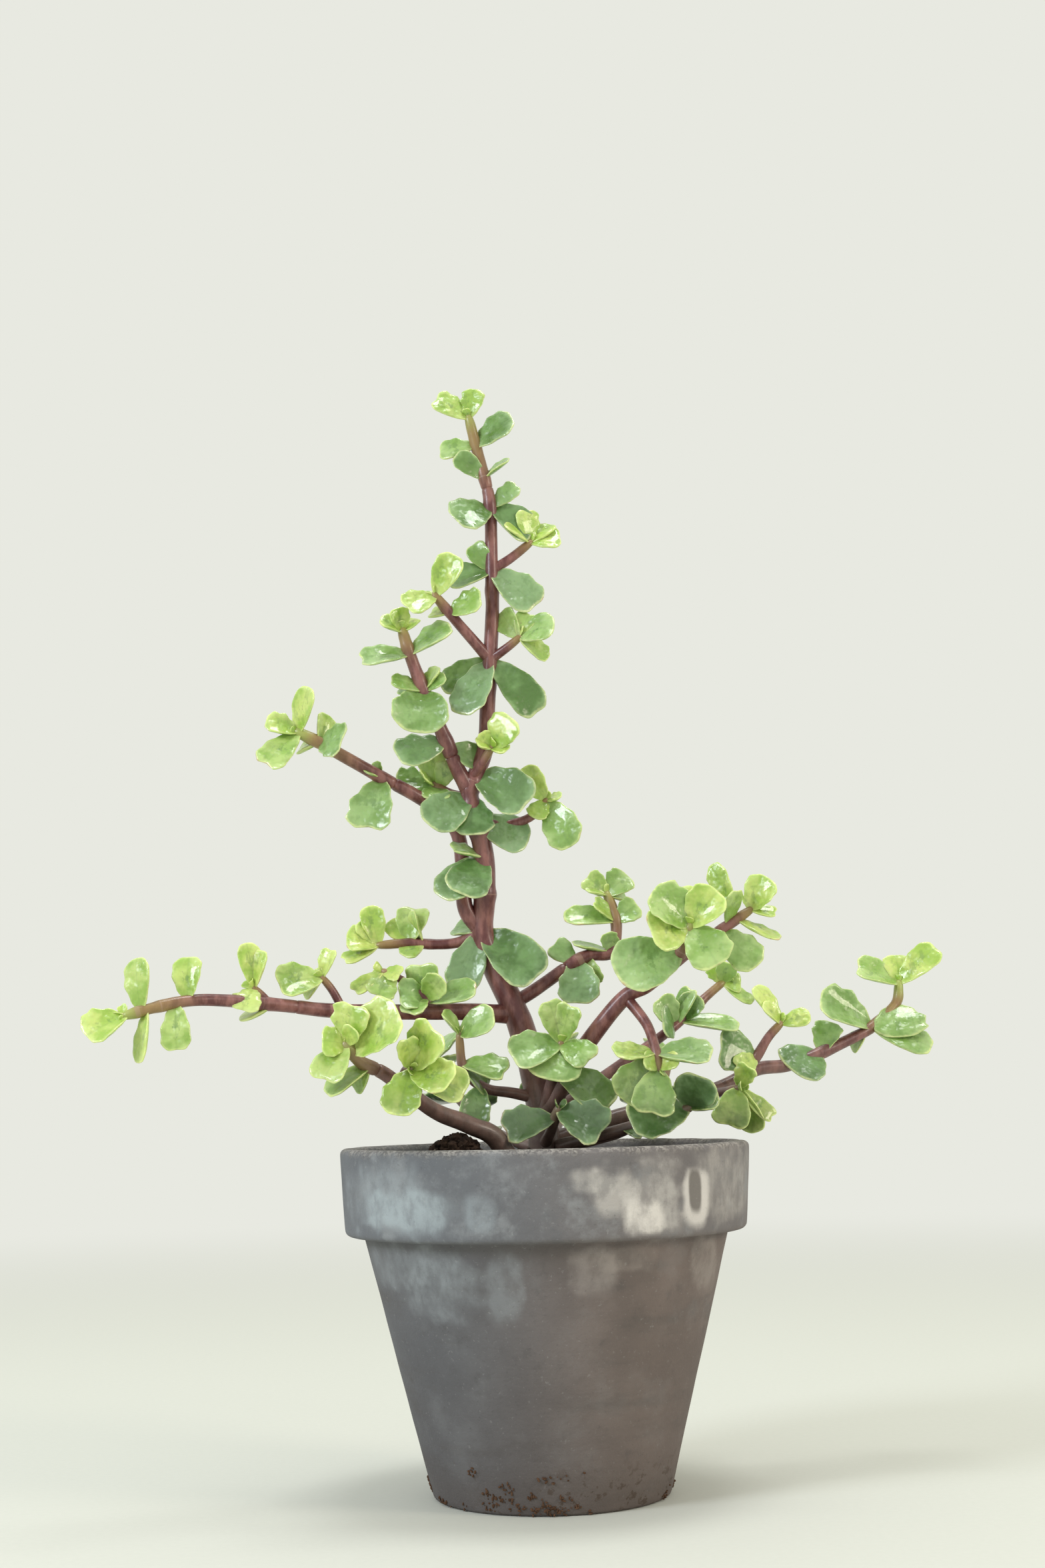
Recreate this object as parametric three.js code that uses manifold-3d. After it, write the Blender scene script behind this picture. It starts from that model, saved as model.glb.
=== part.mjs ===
// A variegated elephant bush, the small-leaved "dwarf jade", growing in a grey clay pot.
// Millimetres, +Z up. The origin is on the pot's axis, on the surface that the pot stands on.
// +X is to the viewer's right and -Y is towards the viewer.

import * as THREE from 'three';
import Module from 'manifold-3d';
import { mergeVertices } from 'three/addons/utils/BufferGeometryUtils.js';

const wasm = await Module();
wasm.setup();

// ---------------------------------------------------------------- driving dimensions

// the pot
const potHeight = 99;
const rimDiameter = 120;
const rimHeight = 25;
const rimTaper = 1.5; // how much smaller the rim's radius is at its lower edge
const rimStep = 4.5; // how far the rim stands out from the wall under it
const baseDiameter = 68;
const wallThickness = 6.5;
const floorThickness = 8;
const drainDiameter = 12;
const lipRadius = 2;

// the soil
const soilDepthBelowRim = 10;
const moundHeight = 7;
const clumpRadius = 9; // the heap around the front left branch
const clumpHeight = 12;
const clumpPlace = [-25, -22];

// the plant
const leafThickness = 2.2;
const leafBreadth = 1.12; // scales every leaf's width
const leafCup = 0.11; // how far a leaf's edges rise, as a share of its width
const leafBaseBreadth = 0.6; // a leaf's breadth near its base and its tip, for a mean of 1
const leafTipBreadth = 1.4;
const stemGirth = 1.3; // scales every stem's radius
const gap = 0.3; // clearance between pieces that touch

// how finely the round shapes are cut
const potSides = 32;
const trunkSides = 8;
const twigSides = 6;
const ringsPerStep = 1; // rings of a stem for each step between two route points

// ---------------------------------------------------------------- the plant's habit

// Each shoot has a name and a route, whose points are [across, depth, height above the soil].
// thick is its radius at the first and the last point. Up to the route point numbered woody it is
// bare stem with single leaves. Past that point stem and leaves are one soft, growing piece.
// Each leaf has: the route point it grows from, the reach from there to its tip,
// its width, and the way its upper face looks.

const shoots = [
  {
    name: 'trunk', thick: [4.5, 1.25], woody: 17.4,
    route: [
      [0, 0, -16], [0, 0, 8], [-1, 0, 23], [-5, 1, 41], [-9, 2, 52], [-14, 3, 63], [-17, 3, 73],
      [-16, 2, 84], [-16, 1, 95], [-18, 0, 106], [-20, 0, 114], [-18, 0, 120], [-15, 0, 128],
      [-14, -1, 142], [-13, -1, 155], [-12, -1, 170], [-12, 0, 183], [-12, 0, 203],
      [-14, 0, 214], [-16, 0, 222.5], [-18, -1, 231],
    ],
    leaves: [
      [20, [-11, -2, 7], 8, [2, -9, 4]],
      [20, [2, 0, 9.5], 6.5, [-1, -9, 2]],
      [19, [12, -4, 7], 11, [-2, -8, 5]],
      [19, [-12, 2, -1], 7, [0, -8, 5]],
      [17.8, [-9, -3, 7], 6, [-2, -9, 2]],
      [17.8, [8, -4, 5], 5, [-3, -5, 8]],
      [17, [-11, -6, -6], 12, [-1, -9, 4]],
      [17, [9, 1, 7], 6, [0, -9, 4]],
      [17, [13, 2, -9], 10, [2, -9, 4]],
      [16, [-14, -1, -5], 9, [1, -8, 5]],
      [16, [-6, 0, 9], 6, [-3, -9, 2]],
      [16, [14, -3, -13], 11, [3, -9, 3]],
      [14, [-15, 3, -8], 9, [-2, -9, 4]],
      [14, [-9, -6, -18], 11, [-3, -9, 2]],
      [14, [15, -2, -18], 10, [2, -9, 2]],
      [11, [16, -7, -11], 13, [-1, -9, 3]],
      [10, [-12, -8, -11], 12, [-1, -9, 3]],
      [10, [1, -6, -14], 11, [1, -9, 2]],
      [9, [15, 3, -7], 12, [2, -8, 4]],
      [8, [-13, -8, -12], 11, [-3, -9, 2]],
      [8, [-7, -10, -13], 12, [-1, -9, 1]],
      [8, [-10, -7, 3], 6, [0, -6, 8]],
      [6, [17, -5, -16], 14, [2, -9, 2]],
      [6, [-8, -5, -18], 10, [-1, -9, 3]],
      [6, [-9, 6, 1], 7, [0, -7, 7]],
    ],
  },
  {
    name: 'left_leader', thick: [2.2, 1.4], woody: 1.2,
    route: [
      [-20, 0, 115], [-24, -2, 123], [-28, -4, 133], [-33, -6, 145], [-37, -7, 156], [-39, -7, 163],
    ],
    leaves: [
      [5, [-7, -2, 3], 6, [0, -7, 6]],
      [5, [-2, -2, 7], 6, [3, -8, 2]],
      [5, [3, 3, 5], 6, [-2, -8, 4]],
      [4, [-16, -3, -2], 9, [0, -7, 6]],
      [4, [13, -3, 8], 9, [-4, -7, 6]],
      [3, [-10, -4, 3], 5.5, [0, -7, 6]],
      [3, [5, 0, 7], 5.5, [-6, -6, 3]],
      [3, [7, -2, 4], 5, [0, -8, 5]],
      [3, [-1, -9, -14], 15, [0, -8, 6]],
      [3, [-8, 3, 1], 6, [0, -8, 6]],
      [1.7, [-15, -4, -6], 11, [-1, -9, 4]],
      [1.5, [9, 5, -3], 8, [0, -9, 3]],
    ],
  },
  {
    name: 'inner_twig', thick: [1.3, 1], woody: 0,
    route: [[-20, 0, 113], [-26, 3, 115], [-31, 4, 118]],
    leaves: [
      [2, [-12, -1, 0], 10, [-1, -8, 5]],
      [2, [-1, -2, 12], 8, [-1, -9, 3]],
      [1.6, [3, -2, 8], 6, [1, -9, 3]],
      [2, [-4, -6, 2], 5, [0, -8, 5]],
      [1.6, [-2, -7, -5], 8, [0, -8, 6]],
    ],
  },
  {
    name: 'left_arm', thick: [2.2, 1.4], woody: 5.5,
    route: [
      [-17, 3, 73], [-22, 2, 80], [-22.5, 3, 92], [-24, 3.5, 103], [-30, 2, 110],
      [-38, -2, 115], [-46, -5, 119], [-56, -9, 124.5], [-64, -11, 129], [-70, -12, 132],
    ],
    leaves: [
      [9, [4, -4, 13], 8, [-5, -8, 2]],
      [9, [-10, -2, 3], 6.5, [0, -8, 5]],
      [9, [-10, -6, -12], 9, [-3, -9, 3]],
      [8, [9, -6, -1], 10.5, [-3, -9, 4]],
      [8, [1, 3, 9], 6, [7, -6, 0]],
      [8, [-7, 5, -1], 6, [0, -7, 7]],
      [6, [-2, 0, 5], 3, [-2, -9, 0]],
      [6, [-4, -5, -18], 12, [-2, -9, 1]],
      [6, [-6, -3, 2], 4, [0, -6, 8]],
    ],
  },
  {
    name: 'upper_left_twig', thick: [1.5, 1.2], woody: 0,
    route: [[-13, -1, 155], [-20, -4, 163], [-25, -5, 169], [-29, -6, 174]],
    leaves: [
      [3, [7, -3, 12], 8.5, [-3, -9, 1]],
      [3, [-9, -5, -6], 8.5, [-1, -9, 4]],
      [2, [11, -4, 3], 8.5, [0, -9, 4]],
      [2, [-6, 4, 0], 5, [0, -8, 6]],
    ],
  },
  {
    name: 'upper_right_twig', thick: [1.3, 1.1], woody: 0,
    route: [[-12, 0, 183], [-6, 1, 187], [0, 2, 192]],
    leaves: [
      [2, [-1, 0, 11], 7, [5, -8, 0]],
      [2, [-8, -4, 6], 6, [1, -6, 7]],
      [2, [10, 0, 1], 9, [0, -7, 6]],
      [2, [7, 4, 6], 7, [-3, -7, 6]],
    ],
  },
  {
    name: 'right_twig', thick: [1.3, 1], woody: 0,
    route: [[-13, -1, 155], [-8, -3, 158], [-4, -4, 161]],
    leaves: [
      [2, [-5, 4, 9], 7, [-5, -8, 2]],
      [2, [4, 1, 8], 6, [-2, -9, 2]],
      [2, [11, -5, 2], 10, [1, -8, 5]],
      [2, [8, 2, -7], 6, [3, -8, 4]],
    ],
  },
  {
    name: 'upper_front_twig', thick: [1.2, 1], woody: 0,
    route: [[-19, -1, 119], [-16, -4, 123], [-13, -6, 127]],
    leaves: [
      [2, [6, -4, 9], 10, [-2, -9, 3]],
      [2, [-5, -3, 1], 5, [0, -7, 6]],
      [2, [5, -3, -2], 5, [0, -7, 6]],
      [2, [-3, -1, 5], 4, [0, -9, 2]],
    ],
  },
  {
    name: 'middle_right_twig', thick: [1.4, 1], woody: 0,
    route: [[-18, 0, 106], [-10, 3, 105], [-2, 3, 107], [3, 2, 112]],
    leaves: [
      [3, [-7, -1, 10], 7, [-5, -5, 6]],
      [3, [5, -1, 1], 5, [0, -6, 8]],
      [3, [7, -5, -15], 10, [-2, -9, 2]],
      [3, [-4, -3, -6], 6, [0, -9, 3]],
    ],
  },
  {
    name: 'left_side_twig', thick: [1.5, 1.1], woody: 0,
    route: [[-17, 3, 73], [-24, 4, 70], [-31, 4, 69.5], [-39, 3, 70], [-48, 2, 69.5]],
    leaves: [
      [4, [-10, -2, 1], 9, [-1, -8, 6]],
      [4, [-3, 0, 12], 6.5, [0, -9, 2]],
      [4, [-11, -3, -6], 6, [0, -6, 8]],
      [4, [-6, -1, 7], 5, [0, -8, 4]],
      [3, [2, 2, 12], 9, [-2, -9, 2]],
      [3, [-6, 2, 7], 6, [1, -9, 3]],
      [2.5, [-3, -2, 10], 5, [-8, -5, 2]],
      [2.5, [-6, -4, -4], 6, [-2, -6, 7]],
    ],
  },
  {
    name: 'long_left_branch', thick: [2.5, 1.15], woody: 3.7,
    route: [
      [-8, 2, 48], [-24, -3, 49], [-40, -10, 49], [-60, -18, 49.5], [-73, -24, 51],
      [-89, -31, 52.5], [-98, -36, 52.5], [-108, -40, 50.5], [-115, -42, 48.5],
    ],
    leaves: [
      [8, [-10, -4, -7], 10, [-3, -8, 5]],
      [8, [-2, 1, 3], 2.5, [0, -9, 3]],
      [7.4, [-2, 1, 15], 8, [-4, -9, 0]],
      [7.2, [-1.5, -2, -15], 6, [-7, -7, 0]],
      [6.1, [0, 2, 13], 7.5, [-1, -9, 3]],
      [6.4, [1, -4, -14], 7.5, [0, -9, 0]],
      [4.2, [-9.5, 1, -5], 6, [0, -3, 9]],
    ],
  },
  {
    name: 'left_branch_outer_twig', thick: [1, 0.9], woody: 0,
    route: [[-76, -25.5, 50], [-79, -26, 53.5], [-81.5, -27, 56]],
    leaves: [
      [2, [-2.5, 0, 13], 6, [4, -9, 0]],
      [2, [2.5, -1, 11], 6, [-5, -8, 2]],
      [2, [-3, -5, -7], 8, [-1, -9, 3]],
    ],
  },
  {
    name: 'left_branch_middle_twig', thick: [1.1, 0.9], woody: 0,
    route: [[-57, -16.5, 49], [-60, -17, 55], [-63, -18, 59]],
    leaves: [
      [2, [-13, -5, -3], 10.5, [0, -8, 5]],
      [2, [3, 0, 9], 5, [-5, -8, 2]],
      [2, [-6, 3, -5], 5, [0, -8, 5]],
    ],
  },
  {
    name: 'left_branch_inner_twig', thick: [1.2, 0.9], woody: 0,
    route: [[-31, -6, 48], [-34, -8, 53], [-40, -9, 58], [-46, -9, 61]],
    leaves: [
      [3, [-9, -3, -7], 6, [0, -6, 8]],
      [3, [6, -3, -2], 5, [-1, -8, 4]],
      [2.6, [-4, -6, -7], 8, [-1, -9, 2]],
      [1, [-1, -1, 11], 9, [-2, -9, 3]],
      [1, [6, -6, 6], 7, [2, -9, 2]],
      [1, [-8, -5, 1], 9, [-1, -9, 3]],
      [1, [-5, -7, -5], 7, [-1, -7, 6]],
      [0.8, [15, -4, 3], 9, [0, -7, 6]],
    ],
  },
  {
    name: 'front_left_branch', thick: [3, 1.3], woody: 5.2,
    route: [
      [-6, -8, -6], [-13, -14, 11], [-21, -19, 16], [-29, -26, 19.5], [-35, -32, 23.5],
      [-44, -40, 31], [-50, -44, 34], [-54, -46, 39],
    ],
    leaves: [
      [7, [3, -2, 12], 10, [-3, -9, 1]],
      [7, [3, -5, 5], 5, [0, -9, 3]],
      [7, [-7, -3, 1], 8, [-2, -9, 3]],
      [7, [-6, -6, -11], 9.5, [-3, -9, 2]],
      [6.6, [15, -6, 10], 14, [-1, -9, 4]],
      [5.6, [-12, -4, -7], 7.5, [0, -6, 8]],
      [5.6, [-5, 4, -6], 6, [0, -8, 5]],
    ],
  },
  {
    name: 'front_rosette_twig', thick: [1.3, 1], woody: 0,
    route: [[-40, -36, 27], [-38, -40, 32], [-36.5, -44, 32]],
    leaves: [
      [2, [9, -6, 12], 11, [-1, -9, 4]],
      [2, [-1, -6, 9.5], 6, [2, -9, 3]],
      [2, [12, -7, -5], 10, [1, -9, 4]],
      [2, [16, -2, -7], 10, [0, -9, 4]],
      [2, [-3, -7, -13], 10, [-1, -9, 1]],
    ],
  },
  {
    name: 'low_left_twig', thick: [1.6, 1], woody: 0,
    route: [[-1, 0, 23], [-9, -3, 25], [-17, -7, 26.5], [-23, -10, 32], [-24, -11, 42]],
    leaves: [
      [4, [11, -5, 5], 9.5, [-2, -8, 5]],
      [4, [-5, -3, 7], 5, [5, -5, 5]],
      [3.2, [14, -4, -4], 9, [-2, -6, 8]],
      [3.2, [8, 5, -7], 9, [0, -8, 6]],
      [2.2, [-2, -5, -12], 8, [0, -9, 2]],
    ],
  },
  {
    name: 'dark_right_branch', thick: [1.8, 1.3], woody: 1.8,
    route: [
      [-9, 2, 51], [-2, 4, 55], [9, 7, 62.5], [15, 9, 65.5], [22, 11, 66.5], [23.5, 12, 76],
      [21, 13, 84],
    ],
    leaves: [
      [6, [-7, 0, 6], 7, [1, -9, 3]],
      [6, [-7, -2, 2], 5, [0, -6, 8]],
      [6, [7, 1, 6], 8.5, [-2, -9, 3]],
      [6, [6, 3, 0], 6, [0, -8, 6]],
      [5, [-16, -3, 2], 7, [0, -7, 6]],
      [5, [-8, -3, 6], 5.5, [1, -7, 6]],
      [5, [7, -1, 5], 7, [-1, -9, 3]],
      [4, [-2, -3, 6], 5, [0, -9, 3]],
      [4, [-13, -3, 2], 5, [0, -4, 9]],
      [2.4, [-1, -6, -14], 11, [0, -9, 1]],
      [2.2, [-7, 2, 6], 7, [2, -9, 3]],
      [2.9, [3, -1, -9], 5, [-3, -9, 0]],
    ],
  },
  {
    name: 'right_branch', thick: [2.9, 1.3], woody: 5.2,
    route: [
      [0, -2, 18], [6, -5, 28], [13, -7, 38.5], [24, -10, 51.5], [31, -12, 55], [38.5, -14, 61],
      [42.5, -16, 67], [43.5, -17, 71.5],
    ],
    leaves: [
      [7, [-11, -4, 10], 12, [1, -9, 4]],
      [7, [-13, -6, -2], 12, [-1, -9, 2]],
      [7, [8.5, -4, 10], 10.5, [-1, -9, 4]],
      [7, [7.5, -7, -12], 12, [1, -9, 2]],
      [7, [3, 5, 12], 9, [0, -9, 3]],
      [5.5, [-20, -8, -6], 15, [-1, -9, 3]],
    ],
  },
  {
    name: 'right_fork', thick: [1.5, 1.1], woody: 0,
    route: [[38, -14, 60.5], [47, -12, 67], [55, -11, 72], [62, -10, 76.5]],
    leaves: [
      [3, [6, -2, 9], 9, [-3, -9, 2]],
      [3, [-1, 0, 5], 3, [0, -9, 1]],
      [3, [8, -1, -2], 4.5, [1, -6, 7]],
      [2.4, [-6, 3, 17], 6, [-5, -8, -1]],
      [2, [2, -4, 11], 6, [6, -7, 0]],
      [2.4, [12.5, -2, -7], 5.5, [4, -5, 6]],
      [1.7, [10, -5, -11], 10, [1, -9, 3]],
    ],
  },
  {
    name: 'hanging_right_twig', thick: [1.4, 1.1], woody: 0,
    route: [[25, -10, 51.5], [29, -13, 46], [31, -16, 42], [32.5, -20, 35.5], [33, -21, 31]],
    leaves: [
      [4, [-5, -3, 3], 5.5, [0, -8, 5]],
      [4, [6, -3, 2.5], 5.5, [0, -8, 5]],
      [4, [-3, -7, -14], 11, [0, -9, 1]],
      [3, [-13, -4, -1], 8, [0, -5, 8]],
      [3, [16, -4, -3], 10, [0, -7, 7]],
      [3.4, [-9, 3, -12], 12, [-1, -9, 2]],
    ],
  },
  {
    name: 'rear_right_twig', thick: [1.7, 1], woody: 0,
    route: [[2, 2, 18], [18, 7, 29], [35, 12, 40], [43, 16, 46], [51, 20, 53], [56, 22, 57]],
    leaves: [
      [5, [-3, 0, 6], 5, [-2, -9, 1]],
      [5, [2, -3, 7], 6, [1, -9, 2]],
      [5, [6, 1, -1], 6, [0, -8, 5]],
      [5, [9, -1, -7], 5, [3, -6, 6]],
      [2.7, [5, -2, 12], 6, [-5, -8, 4]],
      [2.6, [-5, -4, 9], 8, [1, -8, 4]],
      [2.6, [-4, -6, 2], 10, [0, -9, 3]],
      [3, [5, -3, 7], 7, [0, -9, 3]],
      [2.9, [18, -4, -2], 8, [0, -6, 8]],
    ],
  },
  {
    name: 'long_right_branch', thick: [2.5, 1.2], woody: 5.5,
    route: [
      [2, 3, 10], [22, 8, 17], [40, 13, 21], [55, 18, 25.5], [65.5, 22, 30.5], [75, 25, 31.5],
      [86, 29, 35], [99, 34, 40.5], [103.5, 36, 43], [112, 40, 50], [113.5, 41, 56.5],
    ],
    leaves: [
      [10, [-15, -1, 5], 9.5, [0, -7, 7]],
      [10, [0, 4, 9], 8.5, [0, -9, 4]],
      [10, [12.5, -2, 12], 8.5, [-5, -8, 3]],
      [9, [0, -8, -11], 14.5, [0, -9, 4]],
      [8, [-18, -5, 8], 12, [1, -8, 6]],
      [8, [18, -4, -8], 9.5, [1, -8, 6]],
      [7.5, [-4, 5, -5], 6, [0, -8, 5]],
      [6, [-10, -8, -5], 14.5, [-1, -9, 4]],
      [6, [5, 5, 9], 8, [-2, -9, 3]],
    ],
  },
  {
    name: 'right_side_shoot', thick: [1.5, 1], woody: 0,
    route: [[60, 20, 27], [65, 17, 34], [69, 18, 40], [73, 19, 44]],
    leaves: [
      [3, [-7, 0, 12], 6, [5, -8, 3]],
      [3, [-6, -3, 6], 5, [5, -7, 5]],
      [3, [9, -2, 2.5], 6, [0, -7, 6]],
      [1, [-13, -5, 3], 12, [-1, -9, 3]],
      [1, [-7, -7, -3], 6, [1, -9, 2]],
    ],
  },
  {
    name: 'rim_twig', thick: [1.3, 1], woody: 0,
    route: [[52, 16, 23.5], [55, 10, 24], [58, 6, 25]],
    leaves: [
      [2, [-4, -4, -12], 10, [0, -9, 1]],
      [2, [6, 2, -13], 7.5, [-4, -8, 0]],
      [2, [11, 0, -10], 5, [4, -8, 3]],
      [2, [4, -3, 7], 6, [0, -9, 3]],
    ],
  },
  {
    name: 'low_right_twig', thick: [1.8, 1.2], woody: 0,
    route: [[3, -4, 9], [20, -8, 13], [34, -10, 17], [42, -11, 19.5]],
    leaves: [
      [3, [-18, -7, -4], 13, [0, -9, 4]],
      [3, [3, -8, 10], 11, [0, -9, 3]],
      [3, [-1, 4, 9], 6, [0, -9, 3]],
      [3, [9, -2, 2], 8, [1, -7, 6]],
      [1.2, [6, -5, -2], 5, [0, -7, 7]],
    ],
  },
  {
    name: 'front_shoot', thick: [1.7, 1.1], woody: 0,
    route: [[0, -3, 19], [3, -7, 30], [5.5, -10, 39]],
    leaves: [
      [2, [-15, -7, -4], 11, [0, -8, 6]],
      [2, [9, -6, -6], 9, [1, -8, 6]],
      [2, [-4, -8, -11], 14, [0, -8, 5]],
      [2, [-4, -2, 13], 7.5, [3, -9, 0]],
      [2, [4, -4, 12], 7.5, [-3, -9, 1]],
      [1.2, [17, -4, -12], 11, [0, -8, 5]],
    ],
  },
  {
    name: 'foot_twig', thick: [1.6, 1.1], woody: 0,
    route: [[0, -3, 10], [2, -9, 14], [4, -13, 20]],
    leaves: [
      [2, [14, -4, -8], 13, [1, -8, 5]],
      [1.6, [-16, -4, -4], 10, [0, -8, 6]],
    ],
  },
  {
    name: 'rear_left_shoot', thick: [1.8, 1.1], woody: 0,
    route: [[-2, 4, 9], [-8, 14, 10.5], [-16, 24, 14], [-26, 31, 24], [-33, 36, 36]],
    leaves: [
      [4, [-8, 2, 8], 8, [5, -2, 8]],
      [4, [7, 6, 8], 9, [-5, -3, 8]],
      [4, [-9, 3, -1], 9, [2, 2, 9]],
      [4, [3, 9, -2], 10, [0, 5, 8]],
      [3, [-11, 6, -2], 11, [-3, 5, 8]],
      [3, [10, 8, -3], 11, [3, 6, 7]],
      [2, [-3, 12, -1], 10, [-2, 3, 9]],
    ],
  },
  {
    name: 'rear_shoot', thick: [1.7, 1.1], woody: 0,
    route: [[1, 4, 11], [4, 18, 15], [5, 32, 25], [4, 40, 35]],
    leaves: [
      [3, [-8, 3, 8], 8, [5, -1, 8]],
      [3, [8, 3, 8], 8, [-5, -1, 8]],
      [3, [1, 10, 2], 10, [0, -2, 9]],
      [2, [-12, 4, -1], 11, [-2, 5, 8]],
      [2, [12, 4, 0], 11, [2, 5, 8]],
      [1, [-9, 7, 2], 9, [0, 3, 9]],
    ],
  },
  {
    name: 'rear_right_shoot', thick: [1.8, 1.1], woody: 0,
    route: [[3, 4, 9], [15, 17, 10.5], [27, 29, 14], [36, 38, 23], [40, 44, 33]],
    leaves: [
      [4, [-8, 3, 8], 8, [5, -2, 8]],
      [4, [8, 3, 8], 9, [-5, -3, 8]],
      [4, [1, 10, 1], 9, [0, 1, 9]],
      [3, [-10, 7, -2], 11, [-3, 5, 8]],
      [3, [12, 2, -2], 11, [4, 5, 7]],
      [2, [-8, 9, 2], 10, [-1, 3, 9]],
    ],
  },
];

// ---------------------------------------------------------------- materials

function material(colour, roughness) {
  return new THREE.MeshStandardMaterial({ color: colour, roughness, metalness: 0 });
}

const materials = {
  clay: material(0x77777b, 0.9),
  soil: material(0x2e231b, 1),
  bark: material(0x6b4444, 0.5),
  youngGrowth: material(0x9bb45c, 0.4),
  leaf: material(0x6f9468, 0.35),
};

// ---------------------------------------------------------------- solids

// a closed geometry as a solid that can be joined and cut
function solidOf(geometry) {
  const plain = geometry.clone();
  plain.deleteAttribute('normal');
  plain.deleteAttribute('uv');
  const merged = mergeVertices(plain, 1e-3);
  return new wasm.Manifold(new wasm.Mesh({
    numProp: 3,
    vertProperties: new Float32Array(merged.attributes.position.array),
    triVerts: new Uint32Array(merged.index.array),
  }));
}

function geometryOf(solid) {
  const mesh = solid.getMesh();
  const geometry = new THREE.BufferGeometry();
  geometry.setAttribute('position', new THREE.BufferAttribute(mesh.vertProperties, 3));
  geometry.setIndex(new THREE.BufferAttribute(mesh.triVerts, 1));
  return geometry;
}

// the largest body of a solid, without any sliver that a cut has left
function largestBody(solid) {
  const [largest] = solid.decompose().sort((a, b) => b.volume() - a.volume());
  return largest;
}

// a lathe geometry turned about the pot's axis, with its profile's second number as height
function turned(profile, sides) {
  const geometry = new THREE.LatheGeometry(profile, sides);
  geometry.rotateX(Math.PI / 2);
  return geometry;
}

// ---------------------------------------------------------------- the pot

const rimRadius = rimDiameter / 2;
const rimBottom = potHeight - rimHeight;
const wallTopRadius = rimRadius - rimTaper - rimStep;
const baseRadius = baseDiameter / 2;
const soilLevel = potHeight - soilDepthBelowRim;

// the inside radius at a height: the wall's slope, moved in by its thickness
function insideRadius(height) {
  const slope = (wallTopRadius - baseRadius) / rimBottom;
  return baseRadius + slope * height - wallThickness;
}

// an outline through the given corners, each rounded by its own radius
function roundedOutline(corners) {
  const path = new THREE.Path();
  const count = corners.length;
  corners.forEach(([x, y, radius], i) => {
    const corner = new THREE.Vector2(x, y);
    const before = new THREE.Vector2(...corners[(i + count - 1) % count]);
    const after = new THREE.Vector2(...corners[(i + 1) % count]);
    const start = before.sub(corner).setLength(radius).add(corner);
    const end = after.sub(corner).setLength(radius).add(corner);
    if (i === 0) {
      path.moveTo(start.x, start.y);
    } else {
      path.lineTo(start.x, start.y);
    }
    path.quadraticCurveTo(corner.x, corner.y, end.x, end.y);
  });
  path.closePath();
  return path.getPoints(2);
}

function potSolid() {
  const drainRadius = drainDiameter / 2;
  const undercut = 0.8; // the small groove under the rim
  return solidOf(turned(roundedOutline([
    [drainRadius, 0, 1],
    [baseRadius, 0, 1.5],
    [wallTopRadius - undercut, rimBottom, 0.6],
    [rimRadius - rimTaper, rimBottom, lipRadius],
    [rimRadius, potHeight, lipRadius],
    [insideRadius(potHeight), potHeight, lipRadius],
    [insideRadius(floorThickness), floorThickness, 2],
    [drainRadius, floorThickness, 1],
  ]), potSides));
}

// ---------------------------------------------------------------- the soil

// a plug that fills the pot up to the soil level and rises to a low mound in the middle
function soilSolid() {
  const bottom = floorThickness + gap;
  const edge = insideRadius(soilLevel) - gap;
  const mound = [[0.75, 0.25], [0.45, 0.75], [0.2, 1], [0, 1]]; // shares of its radius and height
  const plug = solidOf(turned([
    new THREE.Vector2(0, bottom),
    new THREE.Vector2(insideRadius(floorThickness) - 2, bottom),
    new THREE.Vector2(insideRadius(floorThickness + 3) - gap, floorThickness + 3),
    new THREE.Vector2(edge, soilLevel),
    ...mound.map(([out, up]) => new THREE.Vector2(edge * out, soilLevel + moundHeight * up)),
  ], potSides));
  const clump = new THREE.SphereGeometry(clumpRadius, 10, 8);
  clump.scale(1, 1, clumpHeight / clumpRadius);
  clump.translate(...clumpPlace, soilLevel);
  return plug.add(solidOf(clump));
}

// ---------------------------------------------------------------- stems and leaves

function curveOf(shoot) {
  const points = shoot.route.map(([x, y, h]) => new THREE.Vector3(x, y, soilLevel + h));
  return new THREE.CatmullRomCurve3(points, false, 'catmullrom', 0.5);
}

// the point and the direction of a shoot at a route point, which may lie between two
function placeOn(shoot, at) {
  const share = at / (shoot.route.length - 1);
  const curve = curveOf(shoot);
  return { point: curve.getPoint(share), along: curve.getTangent(share) };
}

function radiusOf(shoot, at) {
  const share = at / (shoot.route.length - 1);
  return stemGirth * THREE.MathUtils.lerp(shoot.thick[0], shoot.thick[1], Math.sqrt(share));
}

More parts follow.
